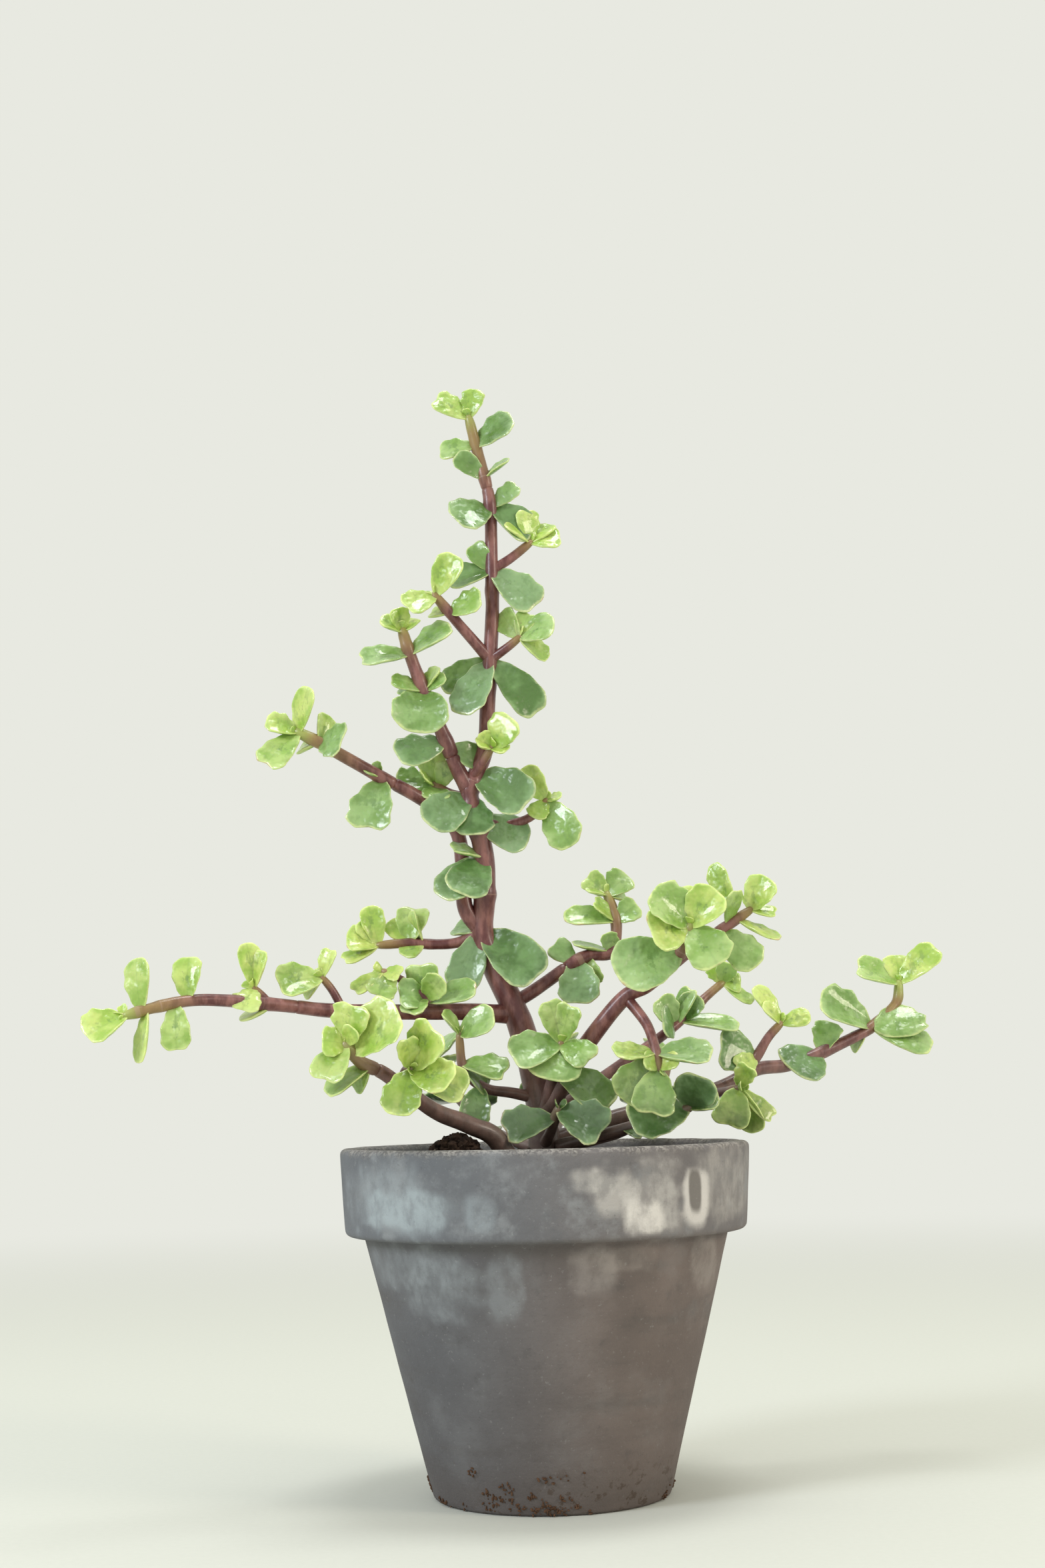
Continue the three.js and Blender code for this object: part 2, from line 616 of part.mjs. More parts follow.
// A tapering stem from one route point to another. It is a straight lathe, one unit from ring to
// ring, bent along the shoot's curve. grown makes it that much larger all round.
function stemSolid(shoot, from, to, grown = 0) {
  const rings = Math.max(2, Math.ceil((to - from) * ringsPerStep));
  const profile = [new THREE.Vector2(0, 0)];
  for (let ring = 0; ring <= rings; ring += 1) {
    profile.push(new THREE.Vector2(1, ring));
  }
  profile.push(new THREE.Vector2(0, rings));
  const sides = shoot.name === 'trunk' ? trunkSides : twigSides;
  const endLength = to === shoot.route.length - 1 ? radiusOf(shoot, to) : 0; // the tip's bud
  const tube = new THREE.LatheGeometry(profile, sides);
  const vertex = new THREE.Vector3();
  const position = tube.attributes.position;
  for (let i = 0; i < position.count; i += 1) {
    vertex.fromBufferAttribute(position, i);
    const ring = Math.round(vertex.y);
    const at = from + ((to - from) * ring) / rings;
    const { point, along } = placeOn(shoot, at);
    const across = new THREE.Vector3(0, 1, 0).cross(along).normalize();
    const other = across.clone().cross(along);
    const radius = radiusOf(shoot, at) + grown;
    if (ring === 0) point.addScaledVector(along, -grown);
    if (ring === rings) point.addScaledVector(along, grown + endLength);
    point.addScaledVector(across, vertex.x * radius);
    point.addScaledVector(other, vertex.z * radius);
    position.setXYZ(i, point.x, point.y, point.z);
  }
  return solidOf(tube);
}

// A fleshy leaf: a sphere of few faces drawn out into a blade that is narrow at its base, widest
// past the middle, thick along the midrib, and cupped towards its upper face.
function leafSolid(shoot, [at, reach, broad, face], grown = 0) {
  const { point } = placeOn(shoot, at);
  const width = broad * leafBreadth;
  const blade = new THREE.Vector3(...reach);
  const length = blade.length();
  const along = blade.clone().normalize();
  const up = new THREE.Vector3(...face).projectOnPlane(along).normalize();
  const side = along.clone().cross(up);
  const ball = new THREE.SphereGeometry(1, 4, 4);
  const vertex = new THREE.Vector3();
  const position = ball.attributes.position;
  const halfThickness = Math.min(leafThickness, width * 0.3) / 2 + grown;
  for (let i = 0; i < position.count; i += 1) {
    vertex.fromBufferAttribute(position, i);
    const share = (1 + vertex.y) / 2;
    const breadth = THREE.MathUtils.lerp(leafBaseBreadth, leafTipBreadth, share);
    const halfWidth = (width / 2) * breadth + grown;
    const lift = leafCup * width * vertex.x * vertex.x;
    const spot = point.clone();
    spot.addScaledVector(along, share * (length + 2 * grown) - grown);
    spot.addScaledVector(side, vertex.x * halfWidth);
    spot.addScaledVector(up, vertex.z * halfThickness + lift);
    position.setXYZ(i, spot.x, spot.y, spot.z);
  }
  return solidOf(ball);
}

// a growing tip: the soft end of the stem from one route point on, with its leaves grown on it
function growingSolid(shoot, from, grown = 0) {
  const last = shoot.route.length - 1;
  const leaves = shoot.leaves.filter(([at]) => at >= from);
  return leaves.reduce(
    (whole, leaf) => whole.add(leafSolid(shoot, leaf, grown)),
    stemSolid(shoot, from, last, grown),
  );
}

// ---------------------------------------------------------------- putting the pieces together

const plant = new THREE.Group();
const halos = [];

function boxesMeet(one, other) {
  return one.min.every((low, axis) => low <= other.max[axis])
    && other.min.every((low, axis) => low <= one.max[axis]);
}

// Adds a piece. Where it presses on one that is already there, it gives way to it, with the gap
// between them, and halo is the room that it takes from the pieces after it.
function addPiece(name, solid, halo, look) {
  let fitted = solid;
  for (const earlier of halos) {
    if (boxesMeet(fitted.boundingBox(), earlier.boundingBox())) {
      fitted = fitted.subtract(earlier);
    }
  }
  const welded = largestBody(solidOf(geometryOf(largestBody(fitted))));
  const mesh = new THREE.Mesh(geometryOf(welded), look);
  mesh.name = name;
  plant.add(mesh);
  halos.push(halo);
}

function addShoot(shoot) {
  if (shoot.woody > 0) {
    const bare = (grown) => stemSolid(shoot, 0, shoot.woody, grown);
    addPiece(shoot.name, bare(0), bare(gap), materials.bark);
    const tip = (grown) => growingSolid(shoot, shoot.woody, grown);
    addPiece(`${shoot.name}_tip`, tip(0), tip(gap), materials.youngGrowth);
  } else {
    const whole = (grown) => growingSolid(shoot, 0, grown);
    addPiece(shoot.name, whole(0), whole(gap), materials.leaf);
  }
}

function addSingleLeaves(shoot) {
  const single = shoot.leaves.filter(([at]) => at < shoot.woody);
  single.forEach((leaf, i) => {
    const name = `${shoot.name}_leaf_${i + 1}`;
    addPiece(name, leafSolid(shoot, leaf), leafSolid(shoot, leaf, gap), materials.leaf);
  });
}

const pot = potSolid();
addPiece('clay_pot', pot, pot, materials.clay);
shoots.forEach(addShoot);
const soil = soilSolid();
addPiece('potting_soil', soil, soil, materials.soil);
shoots.forEach(addSingleLeaves);

export default plant;
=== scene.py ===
# %% [markdown]
# # A dwarf jade plant in a grey clay pot
#
# The plant is a variegated elephant bush, a small succulent that is often sold as dwarf jade. Its
# fleshy leaves are grey-green with a cream margin, its bark is purple-brown, and it stands in a
# tapered pot of grey clay whose rim carries the lime that watering leaves behind.
#
# The imported part gives every piece its place and size. Here each of its nodes gets a finer piece
# with the real surface. The first cell opens the part and keeps the pot's size, which the turned pot takes.

import math
import random

import bmesh
import bpy
from mathutils import Matrix, Vector, noise


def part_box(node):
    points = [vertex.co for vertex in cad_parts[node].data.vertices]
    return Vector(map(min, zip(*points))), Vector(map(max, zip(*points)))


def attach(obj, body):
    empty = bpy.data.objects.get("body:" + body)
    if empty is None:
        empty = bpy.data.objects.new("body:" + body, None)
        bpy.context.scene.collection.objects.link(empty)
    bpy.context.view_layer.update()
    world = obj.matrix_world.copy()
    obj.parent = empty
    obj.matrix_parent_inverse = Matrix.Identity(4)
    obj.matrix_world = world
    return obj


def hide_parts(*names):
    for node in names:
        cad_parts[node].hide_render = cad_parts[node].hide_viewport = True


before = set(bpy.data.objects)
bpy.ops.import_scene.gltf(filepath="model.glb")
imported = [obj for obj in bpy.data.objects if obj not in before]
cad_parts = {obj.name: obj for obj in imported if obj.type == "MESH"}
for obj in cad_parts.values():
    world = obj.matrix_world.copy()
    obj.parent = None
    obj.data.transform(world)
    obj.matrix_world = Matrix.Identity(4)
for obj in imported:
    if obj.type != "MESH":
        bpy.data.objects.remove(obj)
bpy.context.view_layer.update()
pot_low, pot_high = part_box("clay_pot")

# %% [markdown]
# ## The growing habit
#
# A plant like this is a set of shoots. Each shoot is a curved stem, and each leaf has a place on
# its stem, a direction and a face that it turns to the light. The habit could be drawn by a
# growth rule, but this is one real plant, so each shoot is listed one by one instead. The
# numbers are millimetres from the middle of the pot, with the height counted from the soil.
#
# - thick: the stem's radius at its first and its last route point
# - woody: up to this route point the stem is bare bark, and past it the growth is soft
# - route: the points that the stem passes
# - leaves: the route point a leaf grows from, its reach from there to its tip, its width, and
#   the way its upper face looks

# %% The shoots
SHOOTS = [
    dict(name="trunk", thick=(4.5, 1.25), woody=17.4,
         route=[
             [0, 0, -16], [0, 0, 8], [-1, 0, 23], [-5, 1, 41], [-9, 2, 52], [-14, 3, 63], [-17, 3, 73],
             [-16, 2, 84], [-16, 1, 95], [-18, 0, 106], [-20, 0, 114], [-18, 0, 120], [-15, 0, 128],
             [-14, -1, 142], [-13, -1, 155], [-12, -1, 170], [-12, 0, 183], [-12, 0, 203],
             [-14, 0, 214], [-16, 0, 222.5], [-18, -1, 231],
         ],
         leaves=[
             [20, [-11, -2, 7], 8, [2, -9, 4]],
             [20, [2, 0, 9.5], 6.5, [-1, -9, 2]],
             [19, [12, -4, 7], 11, [-2, -8, 5]],
             [19, [-12, 2, -1], 7, [0, -8, 5]],
             [17.8, [-9, -3, 7], 6, [-2, -9, 2]],
             [17.8, [8, -4, 5], 5, [-3, -5, 8]],
             [17, [-11, -6, -6], 12, [-1, -9, 4]],
             [17, [9, 1, 7], 6, [0, -9, 4]],
             [17, [13, 2, -9], 10, [2, -9, 4]],
             [16, [-14, -1, -5], 9, [1, -8, 5]],
             [16, [-6, 0, 9], 6, [-3, -9, 2]],
             [16, [14, -3, -13], 11, [3, -9, 3]],
             [14, [-15, 3, -8], 9, [-2, -9, 4]],
             [14, [-9, -6, -18], 11, [-3, -9, 2]],
             [14, [15, -2, -18], 10, [2, -9, 2]],
             [11, [16, -7, -11], 13, [-1, -9, 3]],
             [10, [-12, -8, -11], 12, [-1, -9, 3]],
             [10, [1, -6, -14], 11, [1, -9, 2]],
             [9, [15, 3, -7], 12, [2, -8, 4]],
             [8, [-13, -8, -12], 11, [-3, -9, 2]],
             [8, [-7, -10, -13], 12, [-1, -9, 1]],
             [8, [-10, -7, 3], 6, [0, -6, 8]],
             [6, [17, -5, -16], 14, [2, -9, 2]],
             [6, [-8, -5, -18], 10, [-1, -9, 3]],
             [6, [-9, 6, 1], 7, [0, -7, 7]],
         ],
         ),
    dict(name="left_leader", thick=(2.2, 1.4), woody=1.2,
         route=[
             [-20, 0, 115], [-24, -2, 123], [-28, -4, 133], [-33, -6, 145], [-37, -7, 156], [-39, -7, 163],
         ],
         leaves=[
             [5, [-7, -2, 3], 6, [0, -7, 6]],
             [5, [-2, -2, 7], 6, [3, -8, 2]],
             [5, [3, 3, 5], 6, [-2, -8, 4]],
             [4, [-16, -3, -2], 9, [0, -7, 6]],
             [4, [13, -3, 8], 9, [-4, -7, 6]],
             [3, [-10, -4, 3], 5.5, [0, -7, 6]],
             [3, [5, 0, 7], 5.5, [-6, -6, 3]],
             [3, [7, -2, 4], 5, [0, -8, 5]],
             [3, [-1, -9, -14], 15, [0, -8, 6]],
             [3, [-8, 3, 1], 6, [0, -8, 6]],
             [1.7, [-15, -4, -6], 11, [-1, -9, 4]],
             [1.5, [9, 5, -3], 8, [0, -9, 3]],
         ],
         ),
    dict(name="inner_twig", thick=(1.3, 1), woody=0,
         route=[[-20, 0, 113], [-26, 3, 115], [-31, 4, 118]],
         leaves=[
             [2, [-12, -1, 0], 10, [-1, -8, 5]],
             [2, [-1, -2, 12], 8, [-1, -9, 3]],
             [1.6, [3, -2, 8], 6, [1, -9, 3]],
             [2, [-4, -6, 2], 5, [0, -8, 5]],
             [1.6, [-2, -7, -5], 8, [0, -8, 6]],
         ],
         ),
    dict(name="left_arm", thick=(2.2, 1.4), woody=5.5,
         route=[
             [-17, 3, 73], [-22, 2, 80], [-22.5, 3, 92], [-24, 3.5, 103], [-30, 2, 110],
             [-38, -2, 115], [-46, -5, 119], [-56, -9, 124.5], [-64, -11, 129], [-70, -12, 132],
         ],
         leaves=[
             [9, [4, -4, 13], 8, [-5, -8, 2]],
             [9, [-10, -2, 3], 6.5, [0, -8, 5]],
             [9, [-10, -6, -12], 9, [-3, -9, 3]],
             [8, [9, -6, -1], 10.5, [-3, -9, 4]],
             [8, [1, 3, 9], 6, [7, -6, 0]],
             [8, [-7, 5, -1], 6, [0, -7, 7]],
             [6, [-2, 0, 5], 3, [-2, -9, 0]],
             [6, [-4, -5, -18], 12, [-2, -9, 1]],
             [6, [-6, -3, 2], 4, [0, -6, 8]],
         ],
         ),
    dict(name="upper_left_twig", thick=(1.5, 1.2), woody=0,
         route=[[-13, -1, 155], [-20, -4, 163], [-25, -5, 169], [-29, -6, 174]],
         leaves=[
             [3, [7, -3, 12], 8.5, [-3, -9, 1]],
             [3, [-9, -5, -6], 8.5, [-1, -9, 4]],
             [2, [11, -4, 3], 8.5, [0, -9, 4]],
             [2, [-6, 4, 0], 5, [0, -8, 6]],
         ],
         ),
    dict(name="upper_right_twig", thick=(1.3, 1.1), woody=0,
         route=[[-12, 0, 183], [-6, 1, 187], [0, 2, 192]],
         leaves=[
             [2, [-1, 0, 11], 7, [5, -8, 0]],
             [2, [-8, -4, 6], 6, [1, -6, 7]],
             [2, [10, 0, 1], 9, [0, -7, 6]],
             [2, [7, 4, 6], 7, [-3, -7, 6]],
         ],
         ),
    dict(name="right_twig", thick=(1.3, 1), woody=0,
         route=[[-13, -1, 155], [-8, -3, 158], [-4, -4, 161]],
         leaves=[
             [2, [-5, 4, 9], 7, [-5, -8, 2]],
             [2, [4, 1, 8], 6, [-2, -9, 2]],
             [2, [11, -5, 2], 10, [1, -8, 5]],
             [2, [8, 2, -7], 6, [3, -8, 4]],
         ],
         ),
    dict(name="upper_front_twig", thick=(1.2, 1), woody=0,
         route=[[-19, -1, 119], [-16, -4, 123], [-13, -6, 127]],
         leaves=[
             [2, [6, -4, 9], 10, [-2, -9, 3]],
             [2, [-5, -3, 1], 5, [0, -7, 6]],
             [2, [5, -3, -2], 5, [0, -7, 6]],
             [2, [-3, -1, 5], 4, [0, -9, 2]],
         ],
         ),
    dict(name="middle_right_twig", thick=(1.4, 1), woody=0,
         route=[[-18, 0, 106], [-10, 3, 105], [-2, 3, 107], [3, 2, 112]],
         leaves=[
             [3, [-7, -1, 10], 7, [-5, -5, 6]],
             [3, [5, -1, 1], 5, [0, -6, 8]],
             [3, [7, -5, -15], 10, [-2, -9, 2]],
             [3, [-4, -3, -6], 6, [0, -9, 3]],
         ],
         ),
    dict(name="left_side_twig", thick=(1.5, 1.1), woody=0,
         route=[[-17, 3, 73], [-24, 4, 70], [-31, 4, 69.5], [-39, 3, 70], [-48, 2, 69.5]],
         leaves=[
             [4, [-10, -2, 1], 9, [-1, -8, 6]],
             [4, [-3, 0, 12], 6.5, [0, -9, 2]],
             [4, [-11, -3, -6], 6, [0, -6, 8]],
             [4, [-6, -1, 7], 5, [0, -8, 4]],
             [3, [2, 2, 12], 9, [-2, -9, 2]],
             [3, [-6, 2, 7], 6, [1, -9, 3]],
             [2.5, [-3, -2, 10], 5, [-8, -5, 2]],
             [2.5, [-6, -4, -4], 6, [-2, -6, 7]],
         ],
         ),
    dict(name="long_left_branch", thick=(2.5, 1.15), woody=3.7,
         route=[
             [-8, 2, 48], [-24, -3, 49], [-40, -10, 49], [-60, -18, 49.5], [-73, -24, 51],
             [-89, -31, 52.5], [-98, -36, 52.5], [-108, -40, 50.5], [-115, -42, 48.5],
         ],
         leaves=[
             [8, [-10, -4, -7], 10, [-3, -8, 5]],
             [8, [-2, 1, 3], 2.5, [0, -9, 3]],
             [7.4, [-2, 1, 15], 8, [-4, -9, 0]],
             [7.2, [-1.5, -2, -15], 6, [-7, -7, 0]],
             [6.1, [0, 2, 13], 7.5, [-1, -9, 3]],
             [6.4, [1, -4, -14], 7.5, [0, -9, 0]],
             [4.2, [-9.5, 1, -5], 6, [0, -3, 9]],
         ],
         ),
    dict(name="left_branch_outer_twig", thick=(1, 0.9), woody=0,
         route=[[-76, -25.5, 50], [-79, -26, 53.5], [-81.5, -27, 56]],
         leaves=[
             [2, [-2.5, 0, 13], 6, [4, -9, 0]],
             [2, [2.5, -1, 11], 6, [-5, -8, 2]],
             [2, [-3, -5, -7], 8, [-1, -9, 3]],
         ],
         ),
    dict(name="left_branch_middle_twig", thick=(1.1, 0.9), woody=0,
         route=[[-57, -16.5, 49], [-60, -17, 55], [-63, -18, 59]],
         leaves=[
             [2, [-13, -5, -3], 10.5, [0, -8, 5]],
             [2, [3, 0, 9], 5, [-5, -8, 2]],
             [2, [-6, 3, -5], 5, [0, -8, 5]],
         ],
         ),
    dict(name="left_branch_inner_twig", thick=(1.2, 0.9), woody=0,
         route=[[-31, -6, 48], [-34, -8, 53], [-40, -9, 58], [-46, -9, 61]],
         leaves=[
             [3, [-9, -3, -7], 6, [0, -6, 8]],
             [3, [6, -3, -2], 5, [-1, -8, 4]],
             [2.6, [-4, -6, -7], 8, [-1, -9, 2]],
             [1, [-1, -1, 11], 9, [-2, -9, 3]],
             [1, [6, -6, 6], 7, [2, -9, 2]],
             [1, [-8, -5, 1], 9, [-1, -9, 3]],
             [1, [-5, -7, -5], 7, [-1, -7, 6]],
             [0.8, [15, -4, 3], 9, [0, -7, 6]],
         ],
         ),
    dict(name="front_left_branch", thick=(3, 1.3), woody=5.2,
         route=[
             [-6, -8, -6], [-13, -14, 11], [-21, -19, 16], [-29, -26, 19.5], [-35, -32, 23.5],
             [-44, -40, 31], [-50, -44, 34], [-54, -46, 39],
         ],
         leaves=[
             [7, [3, -2, 12], 10, [-3, -9, 1]],
             [7, [3, -5, 5], 5, [0, -9, 3]],
             [7, [-7, -3, 1], 8, [-2, -9, 3]],
             [7, [-6, -6, -11], 9.5, [-3, -9, 2]],
             [6.6, [15, -6, 10], 14, [-1, -9, 4]],
             [5.6, [-12, -4, -7], 7.5, [0, -6, 8]],
             [5.6, [-5, 4, -6], 6, [0, -8, 5]],
         ],
         ),
    dict(name="front_rosette_twig", thick=(1.3, 1), woody=0,
         route=[[-40, -36, 27], [-38, -40, 32], [-36.5, -44, 32]],
         leaves=[
             [2, [9, -6, 12], 11, [-1, -9, 4]],
             [2, [-1, -6, 9.5], 6, [2, -9, 3]],
             [2, [12, -7, -5], 10, [1, -9, 4]],
             [2, [16, -2, -7], 10, [0, -9, 4]],
             [2, [-3, -7, -13], 10, [-1, -9, 1]],
         ],
         ),
    dict(name="low_left_twig", thick=(1.6, 1), woody=0,
         route=[[-1, 0, 23], [-9, -3, 25], [-17, -7, 26.5], [-23, -10, 32], [-24, -11, 42]],
         leaves=[
             [4, [11, -5, 5], 9.5, [-2, -8, 5]],
             [4, [-5, -3, 7], 5, [5, -5, 5]],
             [3.2, [14, -4, -4], 9, [-2, -6, 8]],
             [3.2, [8, 5, -7], 9, [0, -8, 6]],
             [2.2, [-2, -5, -12], 8, [0, -9, 2]],
         ],
         ),
    dict(name="dark_right_branch", thick=(1.8, 1.3), woody=1.8,
         route=[
             [-9, 2, 51], [-2, 4, 55], [9, 7, 62.5], [15, 9, 65.5], [22, 11, 66.5], [23.5, 12, 76],
             [21, 13, 84],
         ],
         leaves=[
             [6, [-7, 0, 6], 7, [1, -9, 3]],
             [6, [-7, -2, 2], 5, [0, -6, 8]],
             [6, [7, 1, 6], 8.5, [-2, -9, 3]],
             [6, [6, 3, 0], 6, [0, -8, 6]],
             [5, [-16, -3, 2], 7, [0, -7, 6]],
             [5, [-8, -3, 6], 5.5, [1, -7, 6]],
             [5, [7, -1, 5], 7, [-1, -9, 3]],
             [4, [-2, -3, 6], 5, [0, -9, 3]],
             [4, [-13, -3, 2], 5, [0, -4, 9]],
             [2.4, [-1, -6, -14], 11, [0, -9, 1]],
             [2.2, [-7, 2, 6], 7, [2, -9, 3]],
             [2.9, [3, -1, -9], 5, [-3, -9, 0]],
         ],
         ),
    dict(name="right_branch", thick=(2.9, 1.3), woody=5.2,
         route=[
             [0, -2, 18], [6, -5, 28], [13, -7, 38.5], [24, -10, 51.5], [31, -12, 55], [38.5, -14, 61],
             [42.5, -16, 67], [43.5, -17, 71.5],
         ],
         leaves=[
             [7, [-11, -4, 10], 12, [1, -9, 4]],
             [7, [-13, -6, -2], 12, [-1, -9, 2]],
             [7, [8.5, -4, 10], 10.5, [-1, -9, 4]],
             [7, [7.5, -7, -12], 12, [1, -9, 2]],
             [7, [3, 5, 12], 9, [0, -9, 3]],
             [5.5, [-20, -8, -6], 15, [-1, -9, 3]],
         ],
         ),
    dict(name="right_fork", thick=(1.5, 1.1), woody=0,
         route=[[38, -14, 60.5], [47, -12, 67], [55, -11, 72], [62, -10, 76.5]],
         leaves=[
             [3, [6, -2, 9], 9, [-3, -9, 2]],
             [3, [-1, 0, 5], 3, [0, -9, 1]],
             [3, [8, -1, -2], 4.5, [1, -6, 7]],
             [2.4, [-6, 3, 17], 6, [-5, -8, -1]],
             [2, [2, -4, 11], 6, [6, -7, 0]],
             [2.4, [12.5, -2, -7], 5.5, [4, -5, 6]],
             [1.7, [10, -5, -11], 10, [1, -9, 3]],
         ],
         ),
    dict(name="hanging_right_twig", thick=(1.4, 1.1), woody=0,
         route=[[25, -10, 51.5], [29, -13, 46], [31, -16, 42], [32.5, -20, 35.5], [33, -21, 31]],
         leaves=[
             [4, [-5, -3, 3], 5.5, [0, -8, 5]],
             [4, [6, -3, 2.5], 5.5, [0, -8, 5]],
             [4, [-3, -7, -14], 11, [0, -9, 1]],
             [3, [-13, -4, -1], 8, [0, -5, 8]],
             [3, [16, -4, -3], 10, [0, -7, 7]],
             [3.4, [-9, 3, -12], 12, [-1, -9, 2]],
         ],
         ),
    dict(name="rear_right_twig", thick=(1.7, 1), woody=0,
         route=[[2, 2, 18], [18, 7, 29], [35, 12, 40], [43, 16, 46], [51, 20, 53], [56, 22, 57]],
         leaves=[
             [5, [-3, 0, 6], 5, [-2, -9, 1]],
             [5, [2, -3, 7], 6, [1, -9, 2]],
             [5, [6, 1, -1], 6, [0, -8, 5]],
             [5, [9, -1, -7], 5, [3, -6, 6]],
             [2.7, [5, -2, 12], 6, [-5, -8, 4]],
             [2.6, [-5, -4, 9], 8, [1, -8, 4]],
             [2.6, [-4, -6, 2], 10, [0, -9, 3]],
             [3, [5, -3, 7], 7, [0, -9, 3]],
             [2.9, [18, -4, -2], 8, [0, -6, 8]],
         ],
         ),
    dict(name="long_right_branch", thick=(2.5, 1.2), woody=5.5,
         route=[
             [2, 3, 10], [22, 8, 17], [40, 13, 21], [55, 18, 25.5], [65.5, 22, 30.5], [75, 25, 31.5],
             [86, 29, 35], [99, 34, 40.5], [103.5, 36, 43], [112, 40, 50], [113.5, 41, 56.5],
         ],
         leaves=[
             [10, [-15, -1, 5], 9.5, [0, -7, 7]],
             [10, [0, 4, 9], 8.5, [0, -9, 4]],
             [10, [12.5, -2, 12], 8.5, [-5, -8, 3]],
             [9, [0, -8, -11], 14.5, [0, -9, 4]],
             [8, [-18, -5, 8], 12, [1, -8, 6]],
             [8, [18, -4, -8], 9.5, [1, -8, 6]],
             [7.5, [-4, 5, -5], 6, [0, -8, 5]],
             [6, [-10, -8, -5], 14.5, [-1, -9, 4]],
             [6, [5, 5, 9], 8, [-2, -9, 3]],
         ],
         ),
    dict(name="right_side_shoot", thick=(1.5, 1), woody=0,
         route=[[60, 20, 27], [65, 17, 34], [69, 18, 40], [73, 19, 44]],
         leaves=[
             [3, [-7, 0, 12], 6, [5, -8, 3]],
             [3, [-6, -3, 6], 5, [5, -7, 5]],
             [3, [9, -2, 2.5], 6, [0, -7, 6]],
             [1, [-13, -5, 3], 12, [-1, -9, 3]],
             [1, [-7, -7, -3], 6, [1, -9, 2]],
         ],
         ),
    dict(name="rim_twig", thick=(1.3, 1), woody=0,
         route=[[52, 16, 23.5], [55, 10, 24], [58, 6, 25]],
         leaves=[
             [2, [-4, -4, -12], 10, [0, -9, 1]],
             [2, [6, 2, -13], 7.5, [-4, -8, 0]],
             [2, [11, 0, -10], 5, [4, -8, 3]],
             [2, [4, -3, 7], 6, [0, -9, 3]],
         ],
         ),
    dict(name="low_right_twig", thick=(1.8, 1.2), woody=0,
         route=[[3, -4, 9], [20, -8, 13], [34, -10, 17], [42, -11, 19.5]],
         leaves=[
             [3, [-18, -7, -4], 13, [0, -9, 4]],
             [3, [3, -8, 10], 11, [0, -9, 3]],
             [3, [-1, 4, 9], 6, [0, -9, 3]],
             [3, [9, -2, 2], 8, [1, -7, 6]],
             [1.2, [6, -5, -2], 5, [0, -7, 7]],
         ],
         ),
    dict(name="front_shoot", thick=(1.7, 1.1), woody=0,
         route=[[0, -3, 19], [3, -7, 30], [5.5, -10, 39]],
         leaves=[
             [2, [-15, -7, -4], 11, [0, -8, 6]],
             [2, [9, -6, -6], 9, [1, -8, 6]],
             [2, [-4, -8, -11], 14, [0, -8, 5]],
             [2, [-4, -2, 13], 7.5, [3, -9, 0]],
             [2, [4, -4, 12], 7.5, [-3, -9, 1]],
             [1.2, [17, -4, -12], 11, [0, -8, 5]],
         ],
         ),
    dict(name="foot_twig", thick=(1.6, 1.1), woody=0,
         route=[[0, -3, 10], [2, -9, 14], [4, -13, 20]],
         leaves=[
             [2, [14, -4, -8], 13, [1, -8, 5]],
             [1.6, [-16, -4, -4], 10, [0, -8, 6]],
         ],
         ),
    dict(name="rear_left_shoot", thick=(1.8, 1.1), woody=0,
         route=[[-2, 4, 9], [-8, 14, 10.5], [-16, 24, 14], [-26, 31, 24], [-33, 36, 36]],
         leaves=[
             [4, [-8, 2, 8], 8, [5, -2, 8]],
             [4, [7, 6, 8], 9, [-5, -3, 8]],
             [4, [-9, 3, -1], 9, [2, 2, 9]],
             [4, [3, 9, -2], 10, [0, 5, 8]],
             [3, [-11, 6, -2], 11, [-3, 5, 8]],
             [3, [10, 8, -3], 11, [3, 6, 7]],
             [2, [-3, 12, -1], 10, [-2, 3, 9]],
         ],
         ),
    dict(name="rear_shoot", thick=(1.7, 1.1), woody=0,
         route=[[1, 4, 11], [4, 18, 15], [5, 32, 25], [4, 40, 35]],
         leaves=[
             [3, [-8, 3, 8], 8, [5, -1, 8]],
             [3, [8, 3, 8], 8, [-5, -1, 8]],
             [3, [1, 10, 2], 10, [0, -2, 9]],
             [2, [-12, 4, -1], 11, [-2, 5, 8]],
             [2, [12, 4, 0], 11, [2, 5, 8]],
             [1, [-9, 7, 2], 9, [0, 3, 9]],
         ],
         ),
    dict(name="rear_right_shoot", thick=(1.8, 1.1), woody=0,
         route=[[3, 4, 9], [15, 17, 10.5], [27, 29, 14], [36, 38, 23], [40, 44, 33]],
         leaves=[
             [4, [-8, 3, 8], 8, [5, -2, 8]],
             [4, [8, 3, 8], 9, [-5, -3, 8]],
             [4, [1, 10, 1], 9, [0, 1, 9]],
             [3, [-10, 7, -2], 11, [-3, 5, 8]],
             [3, [12, 2, -2], 11, [4, 5, 7]],
             [2, [-8, 9, 2], 10, [-1, 3, 9]],
         ],
         ),
]

print(len(SHOOTS), "shoots with", sum(len(shoot["leaves"]) for shoot in SHOOTS), "leaves")

# %% [markdown]
# ## Following a stem
#
# A stem has no corners: it bends smoothly through its route points. A Catmull-Rom curve does the
# same, because its direction at each point is half the step from the point before to the point
# after. The part's own stems follow this curve too, so the finer ones land in the same place.

# %% Places along a stem
MM = 0.001
SOIL_LEVEL = 89  # height of the soil's edge above the table
STEM_GIRTH = 1.38  # the part's 1.3, and a little more for what smoothing takes away


def blend(a, b, share):
    """The value that lies the given share of the way from a to b."""
    return a + (b - a) * share


def soft_step(low, high, value):
    """Rises smoothly from 0 at low to 1 at high."""
    share = min(1.0, max(0.0, (value - low) / (high - low)))
    return share * share * (3 - 2 * share)


